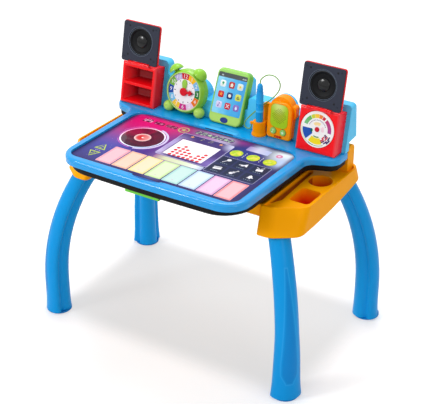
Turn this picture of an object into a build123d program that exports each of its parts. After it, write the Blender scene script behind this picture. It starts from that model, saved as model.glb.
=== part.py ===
"""Toddler's musical activity table: a storage tray on four curved legs, and a flip-up desk top.

Millimetres. +X is the child's right, +Y points away from the child, +Z is up.
The origin lies on the floor, under the middle of the table.
"""
from build123d import *
from math import cos, radians, sin, sqrt, tan
import os

os.makedirs("parts", exist_ok=True)

# ---------------------------------------------------------------- driving dimensions
# Clearances
gap = 0.3            # between pieces that only lie beside each other
running = 0.06       # radial, pin in a turning bore
slip = 0.4           # around pieces that slide

# Reach of the cutting bodies, well outside the table
far = 400.0
cut_low = 300.0
cut_high = 700.0

# Storage tub, from which the widths of the wings, the desk top and the legs' stance follow
tub_half = 206.0             # half width of the tub between the wings
tub_front = -110.0
tub_rear = 108.0
tub_floor_z = 362.0
tub_top_z = 401.0

# Desk top
top_z = 434.0                # upper side of the rim and of the rear shelf
shell_height = 16.0          # blue rim, from its lower edge to the top
board_height = 15.0          # black board below the rim
board_corner_r = 72.0
front_y = -228.0             # middle of the bowed front edge
front_bow = 5.0
front_half = tub_half + 9.0           # half width at the front
waist_half = tub_half + 14.0           # half width where the wings begin
waist_y = 40.0
wing_half = tub_half + 70.0            # half width over the rear wings
wing_front_y = 62.0
rear_y = 112.0               # rear edge of the desk top
top_corner_r = 50.0
waist_r = 25.0
wing_corner_r = 28.0
wing_rear_r = 6.0
rim_round = 6.5              # upper edge of the rim
wall = 2.5                   # general wall of the moulded shells

# Activity page
page_half = front_half - 15.0
page_front = -208.0
page_rear = 46.5
page_front_r = 24.0
page_rear_r = 34.0
page_thick = 1.2
page_sink = 4.0              # page surface below the rim
notch_half = 39.0            # thumb notch in the front rim
notch_depth = 11.0
window_x = (-45.0, 50.0)     # display window in the page
window_y = (-93.0, -15.0)

# Lean-back of the wall, boxes and clock
lean = 11.36
base_y = 60.9                # front plane of the boxes at shelf height
box_depth = 33.4
wall_rear_low = 143.0
wall_rear_high = 132.0
wall_high_z = 560.0            # where the rear face reaches wall_rear_high
overhang_z = 456.0
shoulder_z = 531.5
shoulder_inner = wing_half - 107.5
saddle_z = 503.0
saddle_end = -68.5           # the wall rounds down beside the clock
low_z = 470.0                # between clock and phone
step_z = 497.0               # between phone and player
hump_top = 533.0
hump_rear = 147.0
arch_x = 117.0
arch_r = 25.5
arch_z = 489.0

# Speaker boxes and doors, in the leaning plane: s runs up from the shelf, n points forward
box_half = 44.7
box_x = wing_half - box_half - 9.0
box_top = 92.0
frame_edge = 6.0
door_half = 47.5
door_top = 184.0
door_gap = 2.3
door_front = 4.0
door_thick = 7.5
door_hinge_s = 93.2
door_hinge_n = 2.5
knuckle_r = 4.0
knuckle_half = 18.2          # half length of the box's middle knuckle
hinge_half = 27.5            # half length of the whole hinge
door_pin_r = 1.5
face_thick = 3.0
cone_r = 33.0
cone_s = 143.0

# Colour wheel
wheel_s = 51.0
wheel_r = 37.4
wheel_thick = 2.6
rivet_r = 2.5
rivet_head_r = 5.0

# Clock
clock_x = -108.8
clock_y = 73.5
clock_s = 52.0
clock_r = 44.5
clock_bulge = 3.5
dial_r = 40.5
dial_thick = 1.5
hand_pin_r = 2.4
foot_ball_r = 10.5
bezel_out = 2.4             # bezel in front of the dial
bell_r = 16.5

# Phone
phone_x = -5.5
phone_half = 39.5
phone_y = 75.0
phone_lean = 23.0
phone_thick = 18.0
phone_len = 120.5
screen_half = 35.5
screen_s = (23.0, 111.0)

# Walkie-talkie style player
player_x = 127.0
player_half = 29.0
player_y = 80.0
player_lean = 5.0
player_top = 515.0
player_front_rear = 97.0     # rear of the front half
band_z = 496.0
band_r = 27.5
grille_half = 20.5
grille_s = (25.0, 76.5)
button_r = 6.8
button_out = 3.0
button_travel = 1.5
button_dx = 11.5
button_s = 17.5
switch_s = 5.5
switch_travel = 4.0
speaker_r = 17.0

# Pen and holder
pen_x = 81.5
pen_y = 82.0
pen_r = 7.5
pen_top = 548.0
pen_bottom = 440.0
cup_r = 13.5
cup_foot_r = 16.0
cup_height = 30.0
cup_top = top_z + cup_height
panel_top = 499.0
panel_front = 100.0
cord_d = 2.5

# Tray
rim_z = 388.0
deck_z = 383.0
wing_x = tub_half + 79.0
wing_rear = 152.0
channel_z = 376.0            # gutter between the tub and the cups
channel_end = tub_half + 13.0
tray_wall = 3.0
belly_z = 337.0              # lowest point of the wing's side
belly_r = 1250.0
belly_y = -60.0
round_cup = (tub_half + 40.0, 51.0)
round_cup_r = 25.0
square_cup = (tub_half + 46.0, -23.0)
square_cup_half = (22.0, 30.0)
round_cup_floor = 348.0
square_cup_floor = 342.0

# Lid hinge
hinge_y = 128.0
hinge_z = 427.0
tower_r = 14.0
tower_x = (tub_half + 31.0, tub_half + 68.0)
knuckle_x = (tub_half, tub_half + 30.5)
lid_pin_r = 4.0

# Legs
front_foot = (wing_x + 8.7, -155.3)
rear_foot = (wing_x + 16.7, 199.0)
front_turn = (-0.731, 0.682)   # inward direction of the bend, front right leg
rear_turn = (-0.751, -0.660)
leg_straight = 80.0
leg_front_bend = 457.0
leg_rear_bend = 523.0
leg_arc_top = 335.0
leg_plug = 30.0
leg_r_foot = 29.0
leg_r_mid = 27.0
leg_r_top = 24.0
leg_wall = 2.5
pad_height = 4.0


# ---------------------------------------------------------------- helpers
def rounded(corners):
    """Closed flat outline from (x, y, radius) corners."""
    face = make_face(Polyline(*[(x, y) for x, y, r in corners], close=True))
    for x, y, r in corners:
        if r > 0:
            corner = face.vertices().sort_by_distance((x, y, 0))[0]
            face = face.face().fillet_2d(r, [corner])
    return face


def rectangle(x0, x1, y0, y1, r=0.0):
    return rounded([(x0, y0, r), (x1, y0, r), (x1, y1, r), (x0, y1, r)])


def slab(face, z0, z1):
    """A flat outline raised from z0 to z1."""
    return extrude(Pos(0, 0, z0) * face, z1 - z0, dir=(0, 0, 1))


def across(points, x0, x1):
    """A (y, z) profile swept from x0 to x1."""
    face = Plane.YZ * make_face(Polyline(*points, close=True))
    return extrude(Pos(x0, 0, 0) * face, x1 - x0, dir=(1, 0, 0))


def through(face, y0, y1):
    """An (x, z) silhouette swept from y0 to y1."""
    return extrude(Pos(0, y0, 0) * (Plane.XZ * face), y1 - y0, dir=(0, 1, 0))


def block(x0, x1, y0, y1, z0, z1):
    return Pos((x0 + x1) / 2, (y0 + y1) / 2, (z0 + z1) / 2) * Box(x1 - x0, y1 - y0, z1 - z0)


def rod(plane, x, y, r, z0, z1):
    """A cylinder along a plane's normal, from z0 to z1."""
    return plane * (Pos(x, y, (z0 + z1) / 2) * Cylinder(r, z1 - z0))


def x_rod(y, z, r, x0, x1):
    return Pos((x0 + x1) / 2, y, z) * Rot(0, 90, 0) * Cylinder(r, x1 - x0)


def leaning(x, y_at_shelf, angle):
    """Plane of a leaning front: local y runs up it, local z points out of it."""
    normal = (0, -cos(radians(angle)), sin(radians(angle)))
    shift = (top_z - 430.0) * tan(radians(angle))
    return Plane(origin=(x, y_at_shelf + shift, top_z), x_dir=(1, 0, 0), z_dir=normal)


def slope_y(y_at_430, angle, z):
    """Y of a leaning plane at height z."""
    return y_at_430 + (z - 430.0) * tan(radians(angle))


def mirrored(shape):
    return mirror(shape, about=Plane.YZ)


def save(name, shape):
    export_step(shape, f"parts/{name}.step")


def group(shapes):
    return Compound(children=[solid for shape in shapes for solid in shape.solids()])


# ---------------------------------------------------------------- desk top
def desktop_face(front_r=top_corner_r):
    """Plan outline of the desk top, with its bowed front and rear wings."""
    corner_y = front_y + front_bow
    bow = ThreePointArc((-front_half, corner_y), (0, front_y), (front_half, corner_y))
    right = [(front_half, corner_y), (waist_half, waist_y), (wing_half, wing_front_y), (wing_half, rear_y)]
    left = [(-x, y) for x, y in reversed(right)]
    sides = Polyline(*right, *left)
    face = Face(Wire(bow.edges() + sides.edges()))
    rounds = [(front_half, corner_y, front_r), (waist_half, waist_y, waist_r),
              (wing_half, wing_front_y, wing_corner_r), (wing_half, rear_y, wing_rear_r)]
    for x, y, r in rounds:
        for side in (1, -1):
            corner = face.vertices().sort_by_distance((side * x, y, 0))[0]
            face = face.fillet_2d(r, [corner])
    return face


def inset(face, amount):
    return offset(face, amount=-amount, kind=Kind.INTERSECTION)


def page_face(grow=0.0):
    front, rear = page_front - grow, page_rear + grow
    half = page_half + grow
    return rounded([(-half, front, page_front_r), (half, front, page_front_r),
                    (half, rear, page_rear_r), (-half, rear, page_rear_r)])


page_bed = top_z - page_sink - page_thick
shell_low = top_z - shell_height
cavity_top = page_bed - wall


def desktop_shell():
    outline = desktop_face()
    shell = slab(outline, shell_low, top_z)
    upper = shell.edges().filter_by_position(Axis.Z, top_z - 0.01, top_z + 0.01)
    shell = fillet(upper, rim_round)
    shell -= slab(page_face(slip), page_bed, top_z + 1)
    notch = rectangle(-notch_half, notch_half, page_front - notch_depth, page_front + 30, 5.0)
    shell -= slab(notch, page_bed, top_z + 1)
    shell -= slab(inset(outline, wall + 1.5), shell_low, cavity_top)
    window = rectangle(*window_x, *window_y, 2.0)
    shell -= slab(inset(window, -gap), cavity_top - 1, page_bed + 1)
    for x in (-150.0, 0.0, 150.0):
        for y in (-180.0, 20.0):
            shell += rod(Plane.XY, x, y, 4.0, shell_low, cavity_top)
            shell -= rod(Plane.XY, x, y, screw_r, shell_low, cavity_top)
    for side in (1, -1):
        shell += lid_knuckle(side)
    shell -= x_rod(hinge_y, hinge_z, lid_pin_r + running, knuckle_x[0] + 4, knuckle_x[1] + 1)
    shell -= x_rod(hinge_y, hinge_z, lid_pin_r + running, -knuckle_x[1] - 1, -knuckle_x[0] - 4)
    return shell


def lid_knuckle(side):
    """Arm of the desk top that reaches back around the hinge pin."""
    profile = [(rear_y - 8, shell_low), (rear_y - 3, shell_low), (hinge_y, hinge_z - tower_r + 1.5),
               (hinge_y, hinge_z + tower_r - 2), (rear_y + gap, top_z - 1), (rear_y - 8, top_z - 1)]
    reach = across(profile, *knuckle_x)
    arm = reach + x_rod(hinge_y, hinge_z, tower_r - 1.5, *knuckle_x)
    return arm if side > 0 else mirrored(arm)


screw_r = 1.5


def chalkboard():
    """Black tray under the shell; its underside is the board of the easel."""
    outline = inset(desktop_face(board_corner_r), 4.0)
    low = shell_low - board_height
    tray = slab(outline, low, shell_low)
    lower = tray.edges().filter_by_position(Axis.Z, low - 0.01, low + 0.01)
    tray = fillet(lower, 4.0)
    tray -= slab(inset(outline, wall), low + wall, shell_low + 1)
    for x in (-150.0, 0.0, 150.0):
        for y in (-180.0, 20.0):
            tray += rod(Plane.XY, x, y, 4.0, low + wall, shell_low)
            tray -= rod(Plane.XY, x, y, screw_r + slip, low - 1, shell_low)
            tray -= rod(Plane.XY, x, y, 3.2, low - 1, low + 1.6)
    return tray


def shell_screws():
    low = shell_low - board_height
    screws = []
    for x in (-150.0, 0.0, 150.0):
        for y in (-180.0, 20.0):
            head = rod(Plane.XY, x, y, 2.8, low + 0.1, low + 1.6)
            screws.append(head + rod(Plane.XY, x, y, screw_r, low + 1.6, cavity_top - 1))
    return group(screws)


def activity_page():
    page = slab(page_face(), page_bed, page_bed + page_thick)
    window = rectangle(*window_x, *window_y, 2.0)
    return page - slab(window, page_bed - 1, page_bed + page_thick + 1)


lens_flange = 4.0
lens_low = cavity_top - 1.0
led_board_top = lens_low - 2.2


def led_lens():
    window = rectangle(*window_x, *window_y, 2.0)
    return slab(window, cavity_top, page_bed) + slab(inset(window, -lens_flange), lens_low, cavity_top)


def led_board():
    """Circuit board with a matrix of small lamps under the lens."""
    board = block(window_x[0] - 3, window_x[1] + 3, window_y[0] - 3, window_y[1] + 3,
                  led_board_top - 1.6, led_board_top)
    columns, rows = 10, 8
    for i in range(columns):
        for j in range(rows):
            x = window_x[0] + (window_x[1] - window_x[0]) * (i + 0.5) / columns
            y = window_y[0] + (window_y[1] - window_y[0]) * (j + 0.5) / rows
            board += block(x - 2.5, x + 2.5, y - 1.5, y + 1.5, led_board_top - 0.5, lens_low)
    return board


def touch_board():
    """Key-sensing board that lies under the page bed, around the lens."""
    board = block(-185.0, 185.0, -172.0, 12.0, cavity_top - 1.6, cavity_top)
    edge = lens_flange + 1.0
    board -= block(window_x[0] - edge, window_x[1] + edge, window_y[0] - edge, window_y[1] + edge,
                   cavity_top - 3, cavity_top + 1)
    for x in (-150.0, 0.0, 150.0):
        board -= rod(Plane.XY, x, -180.0, 6.0, cavity_top - 3, cavity_top + 1)
    return board


# ---------------------------------------------------------------- paper clip under the front edge
clip_x = -4.5
clip_half = 40.0
clip_depth = 26.0
clip_thick = 2.6
clip_pin_r = 1.2
clip_hinge_y = front_y + 8.0 + clip_depth
clip_hinge_z = shell_low - board_height - 4.5


def paper_clip():
    board_low = shell_low - board_height
    jaw_y = front_y + 7.0
    x0, x1 = clip_x - clip_half, clip_x + clip_half
    y, z = clip_hinge_y, clip_hinge_z
    plate = block(x0, x1, jaw_y, y, z - 1.0, z - 1.0 + clip_thick)
    jaw = block(x0, x1, jaw_y, jaw_y + 3.0, z - 1.0, board_low - gap)
    barrel = x_rod(y, z, clip_thick, x0, x1)
    tail = block(clip_x - 12, clip_x + 12, y, y + 9.0, z - 2.4, z - 0.4)
    clip = plate + jaw + barrel + tail
    clip -= block(clip_x - 8.5, clip_x + 8.5, y - 3.4, y + 3.4, z - 4, z + 4)
    clip -= x_rod(y, z, clip_pin_r + running, x0 - 1, x1 + 1)
    return clip


def clip_mount():
    """Two ears under the board that hold the clip's pin."""
    board_low = shell_low - board_height
    ears = []
    for side in (1, -1):
        middle = clip_x + side * (clip_half + gap + 2.0)
        x0, x1 = middle - 2.0, middle + 2.0
        ear = block(x0, x1, clip_hinge_y - 4, clip_hinge_y + 4, clip_hinge_z, board_low)
        ear += x_rod(clip_hinge_y, clip_hinge_z, 3.4, x0, x1)
        ears.append(ear - x_rod(clip_hinge_y, clip_hinge_z, clip_pin_r, x0 - 1, x1 + 1))
    return group(ears)


def clip_pin():
    reach = clip_half + gap + 4.0
    return x_rod(clip_hinge_y, clip_hinge_z, clip_pin_r, clip_x - reach, clip_x + reach)


def clip_spring():
    """Torsion spring's coil body around the pin."""
    coil = x_rod(clip_hinge_y, clip_hinge_z, clip_pin_r + 1.0, clip_x - 7.5, clip_x + 7.5)
    return coil - x_rod(clip_hinge_y, clip_hinge_z, clip_pin_r + 0.15, clip_x - 8, clip_x + 8)


# ---------------------------------------------------------------- wall behind the shelf
wall_front = base_y + box_depth / cos(radians(lean))


def wall_silhouette():
    """Front view of the wall: shoulders behind the boxes, a saddle behind the clock and an arch."""
    right = arch_x + sqrt(arch_r ** 2 - (step_z - arch_z) ** 2)
    left = 2 * arch_x - right
    low_end = arch_z - 2.0
    upper = rounded([
        (-wing_half, top_z, 0), (-wing_half, shoulder_z, 8), (-shoulder_inner, shoulder_z, 10),
        (-shoulder_inner, saddle_z, 4), (saddle_end, saddle_z, 28), (saddle_end, low_z, 2),
        (hump_x[1] + 6, low_z, 2), (hump_x[1] + 6, step_z, 4), (left, step_z, 0), (arch_x, step_z, 0),
        (arch_x, low_end, 0), (shoulder_inner + 4, low_end, 3), (shoulder_inner + 4, shoulder_z, 8),
        (wing_half, shoulder_z, 8), (wing_half, top_z, 0)])
    return upper + Pos(arch_x, arch_z) * Circle(arch_r)


def wall_profile(shrink=0.0):
    rear_low = wall_rear_low + (5.0 if shrink else 0.0)
    rear_high = wall_rear_high + (5.0 if shrink else 0.0)
    low = top_z + shrink
    return [(slope_y(wall_front, lean, low) + shrink, low), (rear_y - shrink, low),
            (rear_y - shrink, overhang_z - 3.0 + shrink), (rear_low, overhang_z + shrink),
            (rear_high, wall_high_z), (slope_y(wall_front, lean, wall_high_z) + shrink, wall_high_z)]


phone_back_y = phone_y + phone_thick / cos(radians(phone_lean))
hump_x = (phone_x - phone_half, phone_x + phone_half)


def phone_slope(z, depth=0.0):
    return slope_y(phone_back_y, phone_lean, z) + depth


def hump_profile(shrink=0.0):
    low, high = overhang_z + shrink, hump_top - shrink
    rear = hump_rear - shrink
    return [(phone_slope(low, shrink), low), (rear - 6, low), (rear, low + 6), (rear, high - 10),
            (rear - 4, high - 3), (phone_slope(high, shrink), high)]


def hump():
    """Hollow block behind the phone, with the phone's lean on its front."""
    x0, x1 = hump_x
    outline = rounded([(x0, cut_low, 0), (x1, cut_low, 0), (x1, hump_top, 12), (x0, hump_top, 12)])
    return across(hump_profile(), *hump_x) & through(outline, 0, far)


def hump_cavity():
    """Inside of the hump, joined to the wall's two cavities."""
    inside = across(hump_profile(wall), hump_x[0] + wall, hump_x[1] - wall)
    outline = rectangle(hump_x[0] + wall, hump_x[1] - wall, cut_low, hump_top - wall, 10)
    duct = block(hump_x[0] - 15, hump_x[1] + 10, 116, 134, overhang_z + wall + 1, low_z - wall - 1)
    return (inside & through(outline, 0, far)) + duct


def phone_bay():
    """Space in front of the phone's back."""
    low, high = top_z - 1, cut_high
    profile = [(phone_slope(low), low), (phone_slope(high), high), (0.0, high), (0.0, low)]
    return across(profile, hump_x[0] - gap, hump_x[1] + gap)


def behind_wall(x0, x1, depth=0.0):
    """Everything behind the wall's front plane, or behind a plane deeper in it."""
    low, high = cut_low, cut_high
    near_low = slope_y(wall_front, lean, low) + depth
    near_high = slope_y(wall_front, lean, high) + depth
    return across([(near_low, low), (near_high, high), (far, high), (far, low)], x0, x1)


def back_wall():
    solid = across(wall_profile(), -wing_half, wing_half) & through(wall_silhouette(), 0, far)
    solid += hump()
    solid -= phone_bay()
    inner = inset(wall_silhouette(), wall + 0.5)
    cavity = across(wall_profile(wall), -wing_half, wing_half) & through(inner, 0, far)
    for x0, x1 in ((-wing_half, hump_x[0] - wall), (hump_x[1] + wall, wing_half)):
        solid -= cavity & block(x0, x1, 0, far, cut_low, cut_high)
    solid -= hump_cavity()
    for x, z in cover_posts:
        post = through(Pos(x, z) * Circle(4.5), slope_y(wall_front, lean, z) + 1.0, far)
        solid += post & behind_wall(x - 6, x + 6, 1.0) & in_front_of_cover()
        solid -= through(Pos(x, z) * Circle(screw_r), cover_front(z) - 12, cover_front(z) + 1)
    return solid


cover_thick = 2.2
post_x = wing_half - 21.0
post_z = (478.0, 512.0)
cover_posts = ((-post_x, post_z[0]), (-post_x, post_z[1]), (-110.0, 480.0),
               (72.0, 478.0), (post_x, post_z[0]), (post_x, post_z[1]))


def wall_rear(z):
    t = (z - overhang_z) / (wall_high_z - overhang_z)
    return wall_rear_low + (wall_rear_high - wall_rear_low) * t


def cover_front(z):
    return wall_rear(z) - cover_thick


def in_front_of_cover():
    z0, z1 = top_z + 6.0, wall_high_z
    profile = [(0.0, z0), (cover_front(z0), z0), (cover_front(z1), z1), (0.0, z1)]
    return across(profile, -wing_half, wing_half)


def cover_band():
    """Slanted band just inside the wall's rear face, as thick as the covers."""
    z0, z1 = overhang_z + wall, wall_high_z
    profile = [(cover_front(z0), z0), (wall_rear(z0), z0), (wall_rear(z1), z1), (cover_front(z1), z1)]
    return across(profile, -wing_half, wing_half)


def back_cover():
    """Left and right plates that close the wall from behind."""
    inner = inset(wall_silhouette(), wall + 0.5 + gap)
    band = cover_band() & through(inner, 0, far)
    band &= block(-far, far, 0, far, overhang_z + wall + gap, cut_high)
    plates = []
    for x0, x1 in ((-wing_half, hump_x[0] - wall - gap), (hump_x[1] + wall + gap, wing_half)):
        plate = band & block(x0, x1, 0, far, cut_low, cut_high)
        plate -= battery_opening()
        for x, z in cover_posts:
            plate -= through(Pos(x, z) * Circle(screw_r + slip), 0, far)
        plates.append(plate)
    return group(plates)


def cover_screws():
    screws = []
    for x, z in cover_posts:
        y = wall_rear(z) + 0.3
        screw = through(Pos(x, z) * Circle(3.0), y, y + 1.6)
        screws.append(screw + through(Pos(x, z) * Circle(screw_r), cover_front(z) - 10, y))
    return group(screws)


battery_x = (44.0 - wing_half, 104.0 - wing_half)
battery_z = (466.0, 518.0)
cell_r = 7.25
cell_len = 50.5


def battery_opening(extra=0.0):
    x0, x1 = battery_x[0] - extra, battery_x[1] + extra
    z0, z1 = battery_z[0] - extra, battery_z[1] + extra
    return through(rectangle(x0, x1, z0, z1, 3.0), 0, far)


def battery_box():
    """Open tray inside the wall for three cells."""
    rear = cover_front(battery_z[1]) - gap
    front = rear - 17.5
    x0, x1 = battery_x
    z0, z1 = battery_z
    box = block(x0, x1, front, rear, z0, z1)
    box -= block(x0 + 1.5, x1 - 1.5, front + 1.5, rear + 1, z0 + 1.5, z1 - 1.5)
    link = block(x0 + 10, x1 - 10, 0, front + 1.0, 486, 494)
    return box + (link & behind_wall(*battery_x, wall))


def batteries():
    rear = cover_front(battery_z[1]) - gap
    cells = []
    for i in range(3):
        z = battery_z[0] + 1.5 + 0.6 + cell_r + i * (2 * cell_r + 0.9)
        x = (battery_x[0] + battery_x[1]) / 2
        y = rear - 17.5 + 1.5 + cell_r
        cell = x_rod(y, z, cell_r, x - cell_len / 2 + 1, x + cell_len / 2)
        cells.append(cell + x_rod(y, z, 2.7, x - cell_len / 2, x - cell_len / 2 + 1))
    return group(cells)


def battery_door():
    return cover_band() & battery_opening(-gap)


def main_board():
    """Circuit board on two posts inside the wall, behind the player."""
    z0, z1 = 460.0, 482.0
    y = slope_y(wall_front, lean, z1) + wall + 4.0
    board = block(95.0, 165.0, y, y + 1.6, z0, z1)
    for x in (110.0, 150.0):
        board += block(x - 9, x + 9, y + 1.6, y + 4.5, z0 + 4, z1 - 4)
        board += through(Pos(x, 471.0) * Circle(2.5), 90.0, y + 0.5) & behind_wall(x - 5, x + 5, wall)
    return board


# ---------------------------------------------------------------- speaker boxes
def box_body(side):
    """Closed box with a leaning front, standing on the shelf against the wall."""
    x = side * box_x
    top = top_z + box_top * cos(radians(lean))
    rise = box_depth * sin(radians(lean))
    profile = [(slope_y(base_y, lean, top_z), top_z), (slope_y(base_y, lean, top), top),
               (slope_y(wall_front, lean, top - rise), top - rise),
               (slope_y(wall_front, lean, top_z), top_z)]
    body = across(profile, x - box_half, x + box_half)
    front = body.faces().sort_by(Axis.Y)[0]
    body = fillet(front.edges(), 4.5)
    plane = leaning(x, base_y, lean)
    knuckle = rod_x(plane, door_hinge_s, door_hinge_n, knuckle_r, -knuckle_half, knuckle_half)
    web = plane_box(plane, -knuckle_half, knuckle_half, box_top - 9, door_hinge_s + 1.5, -6.0, -0.6)
    body += knuckle + web
    for a, b in ((-hinge_half - 0.6, -knuckle_half - gap), (knuckle_half + gap, hinge_half + 0.6)):
        body -= rod_x(plane, door_hinge_s, door_hinge_n, knuckle_r + 0.6, a, b)
    body -= rod_x(plane, door_hinge_s, door_hinge_n, door_pin_r, -knuckle_half - 1, knuckle_half + 1)
    return body, plane


def rod_x(plane, s, n, r, x0, x1):
    """A cylinder along X in a leaning plane's own coordinates."""
    return plane * (Pos((x0 + x1) / 2, s, n) * Rot(0, 90, 0) * Cylinder(r, x1 - x0))


def plane_box(plane, x0, x1, s0, s1, n0, n1):
    return plane * block(x0, x1, s0, s1, n0, n1)


compartment_s = ((7.0, 44.0), (49.0, 84.0))
compartment_half = 38.0
compartment_depth = 29.0


def speaker_box_left():
    """Two open compartments whose walls taper to the back."""
    body, plane = box_body(-1)
    for s0, s1 in compartment_s:
        middle = (s0 + s1) / 2
        mouth = Pos(0, middle, 1.0) * Rectangle(2 * compartment_half, s1 - s0)
        back = Pos(0, middle, -compartment_depth) * Rectangle(32.0, 14.0)
        body -= plane * loft([mouth, back])
    return body


def speaker_box_right():
    body, plane = box_body(1)
    body -= rod(plane, 0, wheel_s, wheel_r + 0.8, -wheel_thick - gap, 5.0)
    body -= rod(plane, 0, wheel_s, rivet_r, -16.0, 0.0)
    body -= plane_box(plane, -box_half + wall, box_half - wall, 6.0, box_top - 14, -box_depth + wall, -12.0)
    return body


def speaker_door(side):
    """Red panel that stands above its box and folds down over the box's front."""
    plane = leaning(side * box_x, base_y, lean)
    back = door_front - door_thick
    face = rectangle(-door_half, door_half, door_hinge_s + door_gap - 1, door_top, 6.0)
    panel = plane * slab(face, back, door_front - face_thick)
    reach = hinge_half + 0.5
    panel -= plane_box(plane, -reach, reach, 80, door_hinge_s + knuckle_r + 0.6, back - 1, 8)
    for a, b in ((-hinge_half, -knuckle_half - gap), (knuckle_half + gap, hinge_half)):
        ear = rod_x(plane, door_hinge_s, door_hinge_n, knuckle_r, a, b)
        ear_top = door_hinge_s + knuckle_r + 2
        ear += plane_box(plane, a, b, door_hinge_s, ear_top, back + 2, door_front - face_thick)
        panel += ear
    panel -= rod_x(plane, door_hinge_s, door_hinge_n, door_pin_r + running, -hinge_half - 1, hinge_half + 1)
    panel -= rod(plane, 0, cone_s, cone_r, back + 1.5, 5.0)
    return panel


def speaker_face(side):
    """Dark front plate with a round opening and four screw dimples."""
    plane = leaning(side * box_x, base_y, lean)
    face = rectangle(-door_half + 1.2, door_half - 1.2, door_hinge_s + door_gap, door_top - 1.2, 5.0)
    plate = plane * slab(face, door_front - face_thick, door_front)
    reach = hinge_half + 0.8
    plate -= plane_box(plane, -reach, reach, 80, door_hinge_s + knuckle_r + 0.9, -2, 8)
    plate -= rod(plane, 0, cone_s, cone_r - 1.0, -2, 6)
    for x in (-door_half + 8.5, door_half - 8.5):
        for s in (door_hinge_s + door_gap + 10.0, door_top - 9.0):
            plate -= rod(plane, x, s, 1.7, door_front - 0.9, 6)
    return plate


def speaker_cone(side):
    """Surround ring and cone, turned about the speaker's axis."""
    plane = leaning(side * box_x, base_y, lean)
    floor = door_front - door_thick + 1.5
    outline = [(cone_r - 1.2, floor), (cone_r - 1.2, 1.6), (cone_r - 3.0, 3.2), (cone_r - 5.5, 3.2),
               (cone_r - 7.2, 1.4), (11.5, -0.7), (9.4, -0.9), (9.4, floor)]
    section = make_face(Polyline(*outline, close=True))
    ring = revolve(Plane.XZ * section, Axis.Z)
    return plane * Pos(0, cone_s, 0) * ring


def speaker_dome(side):
    plane = leaning(side * box_x, base_y, lean)
    floor = door_front - door_thick + 1.5
    dome_r, ball_r, rise = 9.0, 15.0, -0.9
    base = Pos(0, 0, (floor + rise) / 2) * Cylinder(dome_r, rise - floor)
    cap = Pos(0, 0, rise - sqrt(ball_r ** 2 - dome_r ** 2)) * Sphere(ball_r)
    cap &= Pos(0, 0, 10 + rise) * Box(40, 40, 20)
    return plane * Pos(0, cone_s, 0) * (base + cap)


def door_hinge_pins():
    pins = []
    for side in (1, -1):
        plane = leaning(side * box_x, base_y, lean)
        reach = hinge_half - 0.5
        pins.append(rod_x(plane, door_hinge_s, door_hinge_n, door_pin_r, -reach, reach))
    return group(pins)


def colour_wheel():
    plane = leaning(box_x, base_y, lean)
    disc = rod(plane, 0, wheel_s, wheel_r, -wheel_thick, 0.0)
    return disc - rod(plane, 0, wheel_s, rivet_r + running, -wheel_thick - 1, 1)


def wheel_rivet():
    plane = leaning(box_x, base_y, lean)
    shank = rod(plane, 0, wheel_s, rivet_r, -16.0, 0.3)
    return shank + rod(plane, 0, wheel_s, rivet_head_r, 0.2, 1.5)


# ---------------------------------------------------------------- clock
clock_depth = (wall_front - clock_y) * cos(radians(lean))


def clock_plane():
    return leaning(clock_x, clock_y, lean)


def clock_body():
    """Alarm clock shape: round case, two bells and two ball feet."""
    plane = clock_plane()
    outline = [(0, -clock_depth), (clock_r + clock_bulge, -clock_depth), (clock_r + clock_bulge, -6.0),
               (clock_r, bezel_out - 1.5), (clock_r - 1.5, bezel_out), (dial_r + 1.5, bezel_out),
               (dial_r + 0.4, bezel_out - 1.5), (dial_r + 0.4, -dial_thick), (0, -dial_thick)]
    case = Pos(0, clock_s, 0) * revolve(Plane.XZ * make_face(Polyline(*outline, close=True)), Axis.Z)
    for side in (1, -1):
        ball_s = foot_ball_r + 1.0
        case += Pos(side * 39.0, ball_s, -8.0) * Sphere(foot_ball_r)
        tilt = side * 36.0
        bell = Pos(0, clock_r + 3.5, -9.5) * Sphere(bell_r)
        bell &= Pos(0, clock_r + 25.5, -9.5) * Box(60, 40.0, 60)
        stalk = Pos(0, clock_r + 1, -9.5) * Box(7, 12, 8)
        case += Pos(0, clock_s, 0) * Rot(0, 0, -tilt) * (bell + stalk)
    case = plane * case
    case -= block(clock_x - 80, clock_x + 80, 0, 200, top_z - 30, top_z)
    case -= behind_wall(clock_x - 80, clock_x + 80)
    case -= plane * (Pos(0, clock_s, -7) * Cylinder(hand_pin_r, 14))
    return case


def clock_dial():
    plane = clock_plane()
    return rod(plane, 0, clock_s, dial_r, -dial_thick, 0.0) - rod(plane, 0, clock_s, hand_pin_r, -5, 5)


def clock_pin():
    return rod(clock_plane(), 0, clock_s, hand_pin_r, -13.0, 3.6)


minute_n = (0.6, 2.0)
hour_n = (2.4, 5.0)


def minute_hand():
    """Petal-shaped hand that points to twelve."""
    plane = clock_plane() * Pos(0, clock_s, 0)
    right = [(2.2, 0, 0), (5.0, 12.0, 4), (4.2, 24.0, 3)]
    left = [(-x, y, r) for x, y, r in reversed(right)]
    petal = rounded(right + [(0, 29.0, 1.5)] + left)
    hand = slab(petal, *minute_n) + slab(Circle(6.0), *minute_n)
    return plane * (hand - slab(Circle(hand_pin_r + running), -1, 4))


def hour_hand():
    """Arrow with a round boss, pointing to three."""
    plane = clock_plane() * Pos(0, clock_s, 0)
    near = [(0, -3.0, 0), (14.0, -2.4, 0), (14.0, -5.8, 0.8)]
    far = [(x, -y, r) for x, y, r in reversed(near)]
    arrow = rounded(near + [(24.0, 0, 0.8)] + far)
    hand = slab(arrow, *hour_n) + slab(Circle(8.8), *hour_n)
    return plane * (hand - slab(Circle(hand_pin_r + running), hour_n[0] - 1, 3.8))


# ---------------------------------------------------------------- phone
def phone_plane():
    return leaning(phone_x, phone_y, phone_lean)


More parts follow.
